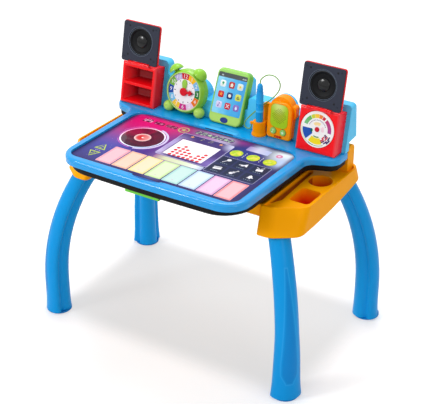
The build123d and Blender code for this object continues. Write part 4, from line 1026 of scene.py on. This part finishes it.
    def lights(self, sizes):
        """Display window with its rows of lights, red where they are lit."""
        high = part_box("led_lens")[1].z / MM
        pitch, radius = sizes.light_pitch / MM, sizes.light_radius / MM
        coat(finish_material("lens_white", paint(246, 243, 248), roughness=0.4, mottle=0.02), "led_lens")
        lit, dim = [], []
        for column, count in enumerate(self.lit_counts):
            x = -29.1 + column * pitch
            light = disc("light", x, -88.2, radius, high - 0.05, high + 0.1, segments=12)
            lit.append(repeated(light, count, (0.0, pitch, 0.0)))
            off = disc("light_off", x, -88.2 + count * pitch, radius * 0.8, high - 0.05, high + 0.04, segments=10)
            dim.append(repeated(off, 7 - count, (0.0, pitch, 0.0)))
        red = finish_material("light_red", paint(214, 34, 44), roughness=0.35, mottle=0.12)
        dress(join("lights_on", lit), red, "desktop")
        pale = finish_material("light_pale", paint(242, 228, 234), roughness=0.4, mottle=0.04)
        dress(join("lights_off", dim), pale, "desktop")

    def buttons(self, top):
        def yellow(graph):
            patch = graph.noise(graph.place((0.0, 0.0, PAGE_TOP)), 95.0, detail=1.0)
            return graph.ramp(patch, mixed_stops((0.4, 176, 206, 40), (0.62, 224, 218, 70)))

        def sheen(graph):
            return self.across(graph, 119.0, 19.0, 0.026, (0.0, 150, 130, 196), (0.45, 204, 204, 232),
                               (1.0, 176, 190, 232))
        lime = ink("button_ink", paint(190, 210, 44), base=yellow)
        for index, x in enumerate(self.button_row):
            dress(disc(f"page_button_{index + 1}", x, self.button_y, 13.6, PAGE_TOP, top), lime, "page")
        rims = [plate("rim", band(x, self.button_y, 13.7, 14.3, 0, 359.9, 36), PAGE_TOP, top + 0.02)
                for x in self.button_row]
        self.printed(join("page_button_rims", rims), "rim_ink", (120, 140, 50))
        items = zip(("note", "two_notes", "star"), self.button_row)
        self.sign_row("page_button_signs", "sign_lime_ink", (206, 214, 110), items, self.button_y, 11.0,
                      top - 0.05, top + 0.04)
        dashes = [plate("dash", bar(x, y, x + 0.8, y - 4.2, 1.0), PAGE_TOP, top)
                  for x in (105.0, 143.6) for y in (-4.0, -10.0, -16.0, -22.0)]
        self.printed(join("button_dashes", dashes), "white_ink", (236, 238, 244))
        panel = plate("pale_panel", rounded(93.0, 145.0, 8.5, 29.0, 2.5), PAGE_TOP, top)
        self.printed(panel, "panel_ink", (200, 200, 230), base=sheen)
        pink = disc("pink_button", 167.0, 19.0, 7.2, PAGE_TOP, top, segments=28)
        self.printed(pink, "pink_ink", (214, 128, 170))
        self.sign_row("pink_button_sign", "pink_pale_ink", (240, 206, 226), (("ball", 167.0),), 19.0, 8.0,
                      top - 0.05, top + 0.04)

    def instruments(self, top):
        panel = plate("instrument_panel", rounded(69.0, 183.0, -114.5, -38.5, 3.5), PAGE_TOP, top - 0.03)
        self.printed(panel, "navy_ink", (34, 38, 84))
        cells, signs, ticks = [], [], []
        for index, kind in enumerate(("maraca", "horn", "drum", "keys", "guitar", "bell")):
            x, y = 88.2 + 38.0 * (index % 3), -55.5 - 36.5 * (index // 3)
            cells.append(plate("cell", rounded(x - 16.4, x + 16.4, y - 15.6, y + 14.4, 2.0, 3), PAGE_TOP, top))
            signs.append(sign("instrument", kind, x, y + 1.5, 20.0, top - 0.05, top + 0.05, turn=12.0))
            for i in range(4):
                ticks.append(plate("tick", bar(x - 8.0 + 4.6 * i, y - 12.2, x - 5.4 + 4.6 * i, y - 12.2, 1.7),
                                   top - 0.05, top + 0.03))
        self.printed(join("instrument_cells", cells), "cell_ink", (22, 26, 60))
        self.printed(join("instrument_signs", signs), "instrument_ink", (232, 232, 240))
        self.printed(join("instrument_ticks", ticks), "tick_ink", (130, 152, 176))
        line = frame_line("instrument_line", 68.2, 183.8, -115.3, -37.7, 4.0, 0.8, PAGE_TOP, top + 0.02)
        self.printed(line, "line_ink", (176, 176, 206))

    def signs(self, top):
        x, triangles = -161.8, []
        for y, way in ((-138.0, 1.0), (-172.0, -1.0)):
            loop = holed([(0.0, 14.0), (-13.5, -11.0), (13.5, -11.0)], [(0.0, 8.6), (-9.0, -8.2), (9.0, -8.2)])
            triangles.append(plate("triangle", [(x + u, y + v * way) for u, v in loop], PAGE_TOP, top))
            triangles.append(sign("note", "note", x, y - 2.0 * way, 11.0, PAGE_TOP, top))
        self.printed(join("volume_signs", triangles), "sign_ink", (176, 196, 78))
        dots = [plate("mark", bar(x, -155.4, x + 2.2, -154.6, 2.2), PAGE_TOP, top) for x in (-167.0, -162.5, -158.0)]
        self.printed(join("volume_marks", dots), "mark_ink", (190, 176, 220))
        plates = [plate("word_plate", rounded(x - w, x + w, 12.5, 25.5, 3.0, 3), PAGE_TOP, top - 0.06)
                  for x, w in ((-128.0, 12.0), (-97.0, 14.0))]
        self.printed(join("note_plates", plates), "note_plate_ink", (110, 12, 60))
        first = plate("first_plate", rounded(-168.0, -146.0, 13.0, 26.0, 3.0, 3), PAGE_TOP, top - 0.06)
        self.printed(first, "first_plate_ink", (224, 150, 186))
        self.sign_row("dark_notes", "dark_note_ink", (50, 10, 40), (("two_notes", -162.0), ("note", -151.0)),
                      19.4, 17.0, top - 0.08, top)
        light = (("note", -134.0), ("star", -123.0), ("two_notes", -104.0), ("note", -90.0))
        self.sign_row("light_notes", "light_note_ink", (206, 110, 150), light, 19.0, 13.0, top - 0.08, top)
        ring = [plate("ring", band(-66.5, 20.0, 10.2, 12.4, 0, 359.9, 28), PAGE_TOP, top),
                sign("ring_star", "star", -66.5, 20.0, 15.0, PAGE_TOP, top)]
        self.printed(join("ring_sign", ring), "ring_ink", (176, 190, 110))
        strip = plate("row_plate", rounded(-40.0, 54.0, 19.0, 34.0, 5.0), PAGE_TOP, top - 0.08)
        self.printed(strip, "row_plate_ink", (96, 66, 116))
        row = (("note", -32.0), ("two_notes", -19.0), ("star", -5.0), ("note", 8.0), ("two_notes", 21.0),
               ("star", 35.0), ("note", 47.0))
        self.sign_row("note_row", "row_ink", (168, 200, 160), row, 26.5, 15.0, PAGE_TOP, top)


class TABLE_OT_shelf(bpy.types.Operator):
    """Card slot on the shelf behind the page, and the thumb notch in the desk's front edge"""
    bl_idname = "table.shelf"
    bl_label = "Card slot"

    def execute(self, context):
        # The raised strip behind the slot is a lighter blue, a painted highlight along it.
        strip = plate("slot_rim", rounded(-48.0, 46.0, 48.6, 57.5, 3.0), SHELF_TOP - 0.1, SHELF_TOP + 1.2, edge=0.6)
        dress(strip, moulded("slot_rim_highlight_blue", paint(60, 178, 240), roughness=0.26, edge=0.4), "desktop")
        # Dark plate of painted shadow in the slot's mouth.
        slot = plate("slot_mouth", rounded(-30.0, 39.0, 45.0, 48.4, 1.2), SHELF_TOP - 0.1, SHELF_TOP + 0.1)
        dress(slot, finish_material("slot_shadow_dark", paint(8, 40, 84), roughness=0.6), "desktop")
        arc = [(34.0 * cos(a), -208.7 - 9.4 * sin(a)) for a in (pi * i / 14 for i in range(15))]
        rim = [(-38.6, -218.7), (38.6, -218.7), (38.6, -208.7)] + arc + [(-38.6, -208.7)]
        notch = plate("thumb_rim", rim, PAGE_TOP, SHELF_TOP - 0.1)
        dress(notch, bpy.data.materials["desk_plastic"], "desktop", angle=30.0)
        # Darker blue crescent of painted shade inside the thumb notch.
        scoop = plate("thumb_scoop", arc, PAGE_TOP, PAGE_TOP + 1.6)
        dress(scoop, moulded("scoop_shade_blue", paint(2, 96, 176), roughness=0.35), "desktop")
        return {"FINISHED"}


class TABLE_OT_speakers(bpy.types.Operator):
    """Speaker boxes, their folding doors, fronts, cones and domes"""
    bl_idname = "table.speakers"
    bl_label = "Speakers"

    height = 143.0
    # Compartments, in metres on the box's front: half their width, their bottom and their top.
    half, bottom, top = 0.038, 0.0068, 0.0842
    cone = [(31.4, 0.4), (31.4, 3.4), (30.8, 3.4), (30.2, 2.5), (29.2, 2.2), (27.6, 3.1), (26.0, 3.1), (24.8, 2.2),
            (23.6, 0.6), (19.6, -0.2), (13.6, -0.9), (13.6, -1.6), (30.0, -0.6), (31.4, 0.4)]
    dome = [(0.0, -1.6), (14.2, -1.6), (14.2, -0.7), (13.4, 0.5), (11.6, 1.4), (9.0, 2.2), (6.0, 2.7), (3.0, 3.0),
            (0.0, 3.1)]
    rim = [(31.0, 2.6), (31.4, 3.9), (33.0, 4.05), (33.6, 3.8), (33.6, 2.6), (31.0, 2.6)]
    outer_ridge = [(31.3, 3.8), (31.5, 4.2), (31.8, 4.3), (32.1, 4.2), (32.3, 3.8), (31.3, 3.8)]
    inner_ridge = [(28.8, 2.1), (29.0, 2.7), (29.4, 2.85), (29.8, 2.7), (30.0, 2.1), (28.8, 2.1)]

    def execute(self, context):
        boxes = context.scene.table_paints.boxes

        def compartments(graph):
            """Painted shade inside the left box's compartments, darker further in, and a pale line of painted
            highlight along each edge of a box's front.
            """
            parts = graph.axes(graph.front(0.0, *BOX_FRONT[1:]))
            across = graph.minus(graph.maths("ABSOLUTE", parts[0]), BOX_FRONT[0] * MM)
            # Painted shade: darker the deeper into a compartment.
            compartment_shade = graph.times(graph.spread(parts[2], -0.026, -0.001, 0.8, 0.0),
                                graph.spread(parts[0], -0.001, 0.001, 1.0, 0.0))
            for part, low, high in ((across, -self.half, self.half), (parts[1], self.bottom, self.top)):
                compartment_shade = graph.times(compartment_shade, graph.spread(part, low - 0.0004, low, 0.0, 1.0))
                compartment_shade = graph.times(compartment_shade, graph.spread(part, high, high + 0.0004, 1.0, 0.0))
            colour = graph.mix(compartment_shade, boxes, paint(70, 4, 14))
            # Painted highlight: a pale band along the edges of each box's front.
            up = graph.minus(parts[1], 0.046)
            spot = graph.node("ShaderNodeCombineXYZ", {0: across, 1: up}).outputs[0]
            edge = graph.border(spot, 0.0447, 0.046, 0.0055)
            edge = graph.times(edge, graph.spread(parts[1], 0.0915, 0.0925, 0.6, 0.0))
            edge = graph.times(edge, graph.spread(parts[2], -0.006, -0.003, 0.0, 1.0))
            return graph.mix(edge, colour, paint(255, 84, 96))
        red = moulded("box_plastic", boxes, roughness=0.24, edge=3.2, base=compartments, coat_weight=0.2)
        coat(red, "speaker_box_left", "speaker_box_right", "speaker_door_left", "speaker_door_right")
        slate = moulded("front_plastic", context.scene.table_paints.slate, roughness=0.55, edge=1.2, bump=0.14)
        coat(slate, "speaker_face_left", "speaker_face_right")
        black = finish_material("cone_black", paint(8, 9, 12), roughness=0.45, mottle=0.15, grain=1500.0, bump=0.2)
        gloss = finish_material("dome_black", paint(4, 5, 7), roughness=0.16, mottle=0.1, smear=0.02, shine=0.4)
        ridge = finish_material("ridge_grey", paint(98, 108, 124), roughness=0.35)
        dark = finish_material("dimple_shade_dark", paint(24, 26, 32), roughness=0.5)
        for side, name in ((-1, "left"), (1, "right")):
            plane = slope(side * BOX_FRONT[0], *BOX_FRONT[1:])
            middle = plane @ shift(0.0, self.height, 0.0)
            door = f"{name}_door"
            for piece, profile, steps, material, slot, replaced, angle in (
                    (f"cone_{name}", self.cone, 64, black, "cone_black", (f"speaker_cone_{name}",), 40.0),
                    (f"dome_{name}", self.dome, 48, gloss, "cone_black", (f"speaker_dome_{name}",), 60.0),
                    (f"speaker_rim_{name}", self.rim, 64, slate, "face_grey", (), 35.0),
                    (f"speaker_ring_{name}", self.outer_ridge, 64, ridge, "face_grey", (), 60.0),
                    (f"cone_ring_{name}", self.inner_ridge, 64, ridge, "cone_black", (), 60.0)):
                ring = settle(turned(piece, profile, steps), middle)
                dress(ring, material, door, replaces=replaced, angle=angle)
            # Dark discs over the screw dimples: partly the screws' own dark, partly painted shade in the dimples.
            dimples = [disc("dimple", x, self.height + y, 2.3, 3.9, 4.08, edge=0.1, segments=16)
                       for x in (-30.5, 30.5) for y in (-32.5, 30.5)]
            dress(settle(join(f"front_screws_{name}", dimples), plane), dark, door)
        return {"FINISHED"}


class TABLE_OT_wheel(bpy.types.Operator):
    """Colour wheel with its printed fields, and its rivet"""
    bl_idname = "table.wheel"
    bl_label = "Colour wheel"

    hub, low, high = 51.0, -0.02, 0.14
    fields = (("green", (23.5, 31.5, 126, 166), (92, 176, 60), (150, 214, 180)),
              ("lime", (23.5, 31.5, 108, 124), (204, 214, 60)), ("yellow", (23.5, 31.5, 88, 107), (250, 204, 60)),
              ("orange", (23.5, 31.5, 72, 87), (240, 132, 60)), ("red", (24.0, 31.0, 57, 70), (206, 40, 60)),
              ("rose", (23.5, 31.5, -6, 51), (206, 44, 84), (150, 90, 176)),
              ("blue", (13.0, 33.0, 181, 226), (34, 84, 176)), ("sun", (18.0, 31.0, 236, 296), (246, 222, 40)),
              ("sprig", (14.6, 17.0, 246, 290), (96, 150, 60)), ("leaf", None, (20, 130, 70)),
              ("rim_lime", (34.4, 35.6, 176, 236), (222, 220, 110)),
              ("rim_green", (33.2, 34.6, 240, 262), (70, 130, 60)),
              ("rim_pale", (33.2, 34.6, 264, 300), (150, 190, 110)),
              ("warm", (8.6, 15.0, 62, 132), (250, 222, 160)), ("pink", (9.0, 15.0, -14, 34), (246, 214, 224)))
    bar_rows = (("plum", (104, 32, 96), ((21.0, -30, -19), (24.0, -36, -20), (27.2, -64, -46))),
                ("red", (206, 30, 66), ((24.0, -66, -44), (27.2, -43, -22), (21.0, -52, -34))),
                ("navy", (62, 40, 104), ((31.2, -56, -38), (34.2, -46, -28), (31.2, -34, -18))))

    def execute(self, context):
        white = finish_material("wheel_white", paint(246, 245, 243), roughness=0.34, mottle=0.03, coat_weight=0.3)
        coat(white, "colour_wheel")
        coat(moulded("rivet_red", paint(204, 30, 50), roughness=0.3), "wheel_rivet")
        for row in self.fields:
            self.field(*row)
        for name, mixed, places in self.bar_rows:
            parts = [self.flat("bar", band(0, self.hub, r - 1.4, r + 1.4, a, b, 6)) for r, a, b in places]
            self.printed(join(f"wheel_{name}_bars", parts), f"wheel_{name}_bars_ink", mixed)
        ticks = [self.flat("tick", band(0, self.hub, 18.6, 20.4, a, a + 6, 3)) for a in range(24, 156, 10)]
        self.printed(join("wheel_ticks", ticks), "wheel_tick_ink", (140, 130, 160))
        return {"FINISHED"}

    def flat(self, name, outline):
        return plate(name, outline, self.low, self.high)

    def printed(self, piece, name, mixed, **more):
        dress(settle(piece, slope(*BOX_FRONT)), ink(name, paint(*mixed), **more), "wheel")

    def field(self, name, arc, mixed, below=None):
        """Printed field, between two radii and two angles or in a leaf's shape, of one colour or fading to another."""
        def base(graph):
            height = graph.axes(graph.front(*BOX_FRONT))[1]
            return graph.ramp(graph.spread(height, 0.03, 0.082, 0.0, 1.0), mixed_stops((0.0, *below), (1.0, *mixed)))
        leaf = [(-12.2 + u * 2.6, -4.0 + v * 4.0) for u, v in dot(0, 0, 1.0, 14)]
        outline = [(x, self.hub + s) for x, s in (band(0, 0, *arc) if arc else leaf)]
        self.printed(self.flat(f"wheel_{name}", outline), f"wheel_{name}_ink", mixed, base=base if below else None)


class TABLE_OT_clock(bpy.types.Operator):
    """Alarm clock: case, dial of twelve coloured fields, numbers, ticks and hands"""
    bl_idname = "table.clock"
    bl_label = "Clock"

    hours = ((12, (206, 28, 44)), (11, (186, 180, 222)), (10, (118, 180, 60)), (9, (30, 76, 160)),
             (8, (120, 196, 236)), (7, (248, 206, 60)), (6, (206, 50, 140)), (5, (232, 206, 232)),
             (4, (232, 120, 30)), (3, (24, 122, 54)), (2, (120, 186, 230)), (1, (250, 190, 20)))
    trim = [(40.6, 1.4), (40.9, 2.5), (41.6, 2.9), (42.4, 2.7), (42.8, 2.2), (40.6, 1.4)]
    ball = [(0.0, -12.0), (4.0, -11.6), (8.0, -9.4), (10.9, -5.6), (12.0, -1.4), (11.6, 3.2), (9.4, 7.6),
            (6.0, 10.5), (3.4, 11.4), (2.4, 11.1), (0.0, 10.9)]

    def execute(self, context):
        front = slope(*CLOCK_FRONT)
        plane = front @ shift(0.0, 52.0, 0.0)
        green = moulded("clock_plastic", context.scene.table_paints.clock, roughness=0.26, edge=0.8, coat_weight=0.3)
        coat(green, "clock_body")
        lip = settle(turned("dial_rim", self.trim, 64), plane)
        dress(lip, moulded("rim_lime", paint(196, 226, 130), roughness=0.3), "desktop", angle=60.0)
        coat(finish_material("dial_white", paint(244, 246, 246), roughness=0.4, mottle=0.03), "clock_dial")
        coat(moulded("clock_pin", paint(190, 22, 34), roughness=0.3), "clock_pin")
        pale = moulded("clock_foot", paint(176, 218, 96), roughness=0.24, edge=0.0, coat_weight=0.3)
        for x, name in ((-39.0, "left"), (39.0, "right")):
            foot = settle(turned(f"clock_foot_{name}", self.ball, 32), front @ shift(x, 12.6, -6.4))
            dress(foot, pale, "desktop", angle=60.0)
        self.dial(plane, context.scene.table_sizes.dial / MM)
        self.hands(plane)
        return {"FINISHED"}

    def dial(self, plane, outer):
        def printed(piece, name, mixed):
            dress(settle(piece, plane), ink(name, paint(*mixed)), "desktop")
        for hour, mixed in self.hours:
            middle = 90.0 - 30.0 * hour
            outline = band(0, 0, 27.6, outer, middle - 14.8, middle + 14.8, 5)
            printed(plate(f"hour_field_{hour}", outline, -0.1, 0.12), f"hour_ink_{hour}", mixed)
        numbers, ticks = [], []
        for hour in range(1, 13):
            c, s = cos(radians(90.0 - 30.0 * hour)), sin(radians(90.0 - 30.0 * hour))
            numbers.append(lettering(f"number_{hour}", str(hour), 33.8 * c, 33.6 * s, 11.8, 0.16))
            near = 21.6 if hour % 3 == 0 else 23.4
            ticks.append(plate("tick", bar(near * c, near * s, 25.6 * c, 25.6 * s, 1.7), -0.1, 0.1))
        printed(join("hour_numbers", numbers), "number_ink", (246, 246, 250))
        printed(join("hour_ticks", ticks), "clock_tick_ink", (40, 56, 96))

    def hands(self, plane):
        right = [(2.6, 4.0), (5.4, 11.0), (6.3, 18.0), (5.4, 23.5), (2.6, 26.6)]
        petal = right + [(0.0, 27.2)] + [(-x, y) for x, y in reversed(right)]
        body = [plate("petal", petal, 0.7, 2.0, edge=0.5), disc("boss", 0.0, 0.0, 6.0, 0.6, 2.1, edge=0.4)]
        dress(settle(join("minute_petal", body), plane),
              moulded("petal_green", paint(150, 204, 74), roughness=0.25, edge=0.4), "minute",
              replaces=("minute_hand",))
        arrow = [(4.0, -2.9), (13.4, -2.4), (13.6, -6.0), (15.4, -6.2), (23.0, -0.9), (23.0, 0.9), (15.4, 6.2),
                 (13.6, 6.0), (13.4, 2.4), (4.0, 2.9)]
        boss = turned("hub", [(0.0, 2.4), (8.8, 2.4), (8.8, 4.0), (8.2, 4.8), (6.6, 5.0), (0.0, 5.0)], 40)
        dress(settle(join("hour_arrow", [plate("arrow", arrow, 2.5, 4.6, edge=0.5), boss]), plane),
              moulded("arrow_red", paint(214, 22, 40), roughness=0.24, edge=0.4), "hour",
              replaces=("hour_hand",))
        tip = plate("hour_arrow_tip", [(20.6, -1.1), (24.0, -0.35), (24.0, 0.35), (20.6, 1.1)], 3.0, 4.8)
        dress(settle(tip, plane), ink("tip_dark", paint(30, 26, 34)), "hour")


class TABLE_OT_phone(bpy.types.Operator):
    """Toy phone: case, screen with nine icons, and an oval badge"""
    bl_idname = "table.phone"
    bl_label = "Phone"

    icon_rows = ((87.4, (((236, 244, 240), (40, 160, 110), "tree"), ((186, 50, 50), (236, 232, 214), "house"),
                         ((214, 232, 226), (236, 196, 40), "sun"))),
                 (64.4, (((204, 34, 44), (244, 150, 50), "star"), ((34, 52, 110), (240, 232, 214), "ball"),
                         ((214, 222, 84), (60, 84, 60), "boat"))),
                 (42.0, (((214, 206, 238), (122, 84, 170), "note"), ((200, 30, 46), (244, 230, 236), "cross"),
                         ((132, 106, 186), (224, 232, 250), "bell"))))
    columns = (-20.6, 1.0, 21.9)

    def execute(self, context):
        paints = context.scene.table_paints

        def case(graph):
            out = graph.axes(graph.front(*PHONE_FRONT))
            # Painted light: the front face is paler than the sides, as lit and shaded copies of one green, and paler
            # still towards the bottom.
            front = graph.spread(out[2], -0.0045, -0.001, 0.0, 1.0, "SMOOTHSTEP")
            low = graph.spread(out[1], 0.0, 0.06, 1.0, 0.0, "SMOOTHSTEP")
            pale = graph.mix(low, paint(150, 212, 90), paint(176, 214, 96))
            return graph.mix(front, paints.phone, pale)

        def sky(graph):
            """Misty blue that deepens to the right, with a dark bar along the top."""
            place = graph.front(*PHONE_FRONT)
            parts = graph.axes(place)
            mist = graph.times(graph.noise(place, 42.0, detail=2.0), 0.5)
            tone = graph.plus(graph.spread(parts[0], -0.036, 0.036, 0.0, 0.55), mist)
            stops = [(0.3, paint(130, 212, 244)), (0.55, paints.screen), (0.75, paint(30, 156, 224))]
            colour = graph.ramp(tone, stops)
            return graph.mix(graph.spread(parts[1], 0.1008, 0.1012, 0.0, 1.0), colour, paint(34, 52, 50))
        green = moulded("phone_plastic", paints.phone, roughness=0.26, edge=0.8, base=case, coat_weight=0.3)
        coat(green, "phone_body")
        coat(moulded("badge_blue", paints.badge, roughness=0.22, edge=0.5), "phone_badge")
        coat(finish_material("screen_film", paints.screen, roughness=0.2, mottle=0.04, bump=0.02, base=sky,
                             coat_weight=0.6), "phone_screen")
        self.icons(context.scene.table_sizes.icon / MM / 2)
        return {"FINISHED"}

    def icons(self, half):
        plane = slope(*PHONE_FRONT)
        icons = [(x, s, *icon) for s, row in self.icon_rows for x, icon in zip(self.columns, row)]

        def printed(piece, name, mixed):
            dress(settle(piece, plane), ink(name, paint(*mixed)), "desktop")
        shades = [plate("shade", rounded(x - half + 0.9, x + half + 1.1, s - half - 1.1, s + half - 0.9, 3.6, 3),
                        -0.75, -0.6) for x, s, back, front, kind in icons]
        printed(join("icon_shades", shades), "shade_ink", (30, 96, 160))
        for index, (x, s, back, front, kind) in enumerate(icons, 1):
            tile = rounded(x - half, x + half, s - half, s + half, 3.4, 3)
            printed(plate(f"icon_{index}", tile, -0.65, -0.42, edge=0.1), f"icon_ink_{index}", back)
            printed(sign(f"icon_sign_{index}", kind, x, s, 2 * half * 0.72, -0.45, -0.36),
                    f"icon_sign_ink_{index}", front)
        marks = [plate("mark", bar(x, 104.8, x + w, 104.8, 2.4), -0.65, -0.5)
                 for x, w in ((-28.0, 4.5), (23.5, 3.0), (27.5, 5.0))]
        printed(join("status_marks", marks), "status_ink", (176, 190, 190))


class TABLE_OT_player(bpy.types.Operator):
    """Music player: body, grille, buttons and switch"""
    bl_idname = "table.player"
    bl_label = "Music player"

    def execute(self, context):
        paints = context.scene.table_paints
        plane = slope(*PLAYER_FRONT)
        body = moulded("player_plastic", paints.player, roughness=0.27, edge=1.4, shine=0.06, coat_weight=0.15)
        coat(body, "player_body")
        coat(finish_material("spring_rubber", paint(180, 182, 176), roughness=0.6), "button_springs")
        coat(finish_material("driver_dark", paint(30, 32, 34), roughness=0.5), "loudspeaker")
        button = moulded("button_plastic", paint(140, 202, 96), roughness=0.26, edge=0.4)
        coat(button, "player_button_left", "player_button_right")
        self.grille(paints, plane)
        slide = [plate("slide", rounded(-5.0, 5.0, 3.8, 7.2, 1.0, 3), -3.6, 0.3, edge=0.2)]
        slide += [disc("nub", x, 5.5, 1.6, 0.1, 1.6, edge=0.4, segments=20) for x in (-2.9, 2.9)]
        red = moulded("switch_red", paint(206, 36, 28), roughness=0.3, edge=0.3)
        dress(settle(join("slide_knob", slide), plane), red, "switch", replaces=("slide_switch",))
        for x, name, kind in ((-11.5, "left", "note"), (11.5, "right", "star")):
            mark = settle(sign(f"button_sign_{name}", kind, x, 17.5, 9.0, 2.9, 3.06), plane)
            dress(mark, ink(f"button_sign_{name}", paint(214, 240, 206)), f"{name}_button")
        return {"FINISHED"}

    def grille(self, paints, plane):
        def glare(graph):
            place = graph.front(*PLAYER_FRONT)
            high = graph.times(graph.spot(place, (-0.002, 0.072, 0.0), 0.022), 0.7)
            middle = graph.times(graph.spot(place, (0.0, 0.052, 0.0), 0.02), 0.55)
            colour = graph.mix(middle, paint(170, 208, 30), paint(196, 190, 60))
            return graph.mix(high, colour, paint(226, 232, 150))
        base = settle(plate("grille_plate", rounded(-20.3, 20.3, 25.2, 76.3, 11.6, 6), -1.9, 0.6, edge=0.5), plane)
        dress(base, moulded("grille_lime", paints.lime, roughness=0.3, edge=0.4, base=glare), "desktop",
              replaces=("player_grille",))
        pitch, reach, half = 2.2, 15.6, 0.95
        holes = [(i * pitch, 50.8 + j * pitch) for i in range(-7, 8) for j in range(-7, 8)
                 if (i + j) % 2 == 0 and (i * pitch) ** 2 + (j * pitch) ** 2 < reach ** 2]
        holes = [plate("hole", [(x - half, s), (x, s - half), (x + half, s), (x, s + half)], 0.5, 0.64)
                 for x, s in holes]
        # Dark diamonds of painted shade stand for the holes in the grille.
        dark = finish_material("hole_shade_dark", paint(64, 78, 22), roughness=0.6)
        dress(settle(join("grille_holes", holes), plane), dark, "desktop")


class TABLE_OT_pen(bpy.types.Operator):
    """Pen with its grip, collar and nib, and the cup it stands in"""
    bl_idname = "table.pen"
    bl_label = "Pen and cup"

    profile = [(0.0, 452.0), (7.3, 452.0), (7.4, 466.0), (7.9, 469.0), (7.9, 485.2), (8.3, 486.0), (8.3, 488.8),
               (7.8, 489.6), (7.8, 504.0), (8.2, 505.0), (8.2, 507.4), (7.6, 508.4), (7.4, 529.0), (6.6, 531.0),
               (6.5, 534.0), (6.9, 534.6), (6.9, 536.0), (6.2, 536.6), (6.0, 541.0), (5.0, 545.4), (3.4, 547.6),
               (1.6, 548.0), (0.0, 548.0)]

    def execute(self, context):
        paints = context.scene.table_paints
        coat(moulded("cup_plastic", paints.player, roughness=0.28, edge=1.0, shine=0.05), "pen_holder")

        def bands(graph):
            height = graph.axes(graph.place())[2]
            plain, pale = paints.pen, paint(60, 184, 246)
            return graph.ramp(graph.spread(height, 0.44, 0.55, 0.0, 1.0),
                              [(0.0, plain), (0.41, plain), (0.42, pale), (0.445, pale), (0.455, plain), (0.59, plain),
                               (0.6, paint(40, 176, 242)), (0.615, plain), (0.84, paint(0, 146, 222)),
                               (1.0, paint(20, 160, 232))])
        blue = moulded("pen_plastic", paints.pen, roughness=0.26, edge=0.3, base=bands, coat_weight=0.3)
        barrel = settle(turned("pen_barrel", self.profile, 40), shift(81.5, 82.0, 0.0))
        dress(barrel, blue, "pen", replaces=("pen_body",), angle=40.0)
        coat(blue, "pen_body")
        coat(moulded("pen_tip", paint(60, 150, 220), roughness=0.3), "pen_tip")
        return {"FINISHED"}


class TABLE_OT_inside(bpy.types.Operator):
    """Boards and cells inside the back"""
    bl_idname = "table.inside"
    bl_label = "Inside"

    def execute(self, context):
        def wrap(graph):
            along = graph.axes(graph.place())[0]
            stripe = graph.maths("SINE", graph.times(along, 400.0))
            return graph.mix(graph.spread(stripe, 0.0, 0.1, 0.0, 1.0), paint(40, 42, 46), paint(176, 132, 60))
        green = finish_material("circuit_green", paint(26, 112, 66), roughness=0.4, mottle=0.2, grain=500.0)
        coat(green, "led_board", "touch_board", "main_board")
        coat(finish_material("cell_wrap", paint(60, 60, 64), roughness=0.3, base=wrap), "batteries")
        return {"FINISHED"}


class TABLE_PT_table(bpy.types.Panel):
    """Buttons that build the table, then its paints and sizes"""
    bl_idname = "TABLE_PT_table"
    bl_label = "Activity table"
    bl_space_type = "VIEW_3D"
    bl_region_type = "UI"
    bl_category = "Activity Table"

    def draw(self, context):
        column = self.layout.column(align=True)
        for item in classes:
            if issubclass(item, bpy.types.Operator):
                column.operator(item.bl_idname)
        for group in (context.scene.table_paints, context.scene.table_sizes):
            box = self.layout.box()
            for key in group.__annotations__:
                box.prop(group, key)


classes = [TablePaints, TableSizes, TABLE_OT_stage, TABLE_OT_cord, TABLE_OT_legs, TABLE_OT_tray, TABLE_OT_desk,
           TABLE_OT_page, TABLE_OT_shelf, TABLE_OT_speakers, TABLE_OT_wheel, TABLE_OT_clock, TABLE_OT_phone,
           TABLE_OT_player, TABLE_OT_pen, TABLE_OT_inside, TABLE_PT_table]


def register():
    for item in classes:
        bpy.utils.register_class(item)
    bpy.types.Scene.table_paints = PointerProperty(type=TablePaints)
    bpy.types.Scene.table_sizes = PointerProperty(type=TableSizes)


def unregister():
    del bpy.types.Scene.table_sizes
    del bpy.types.Scene.table_paints
    for item in reversed(classes):
        bpy.utils.unregister_class(item)


def main():
    register()
    for item in classes:
        if issubclass(item, bpy.types.Operator):
            area, name = item.bl_idname.split(".")
            getattr(getattr(bpy.ops, area), name)()


if __name__ == "__main__":
    main()
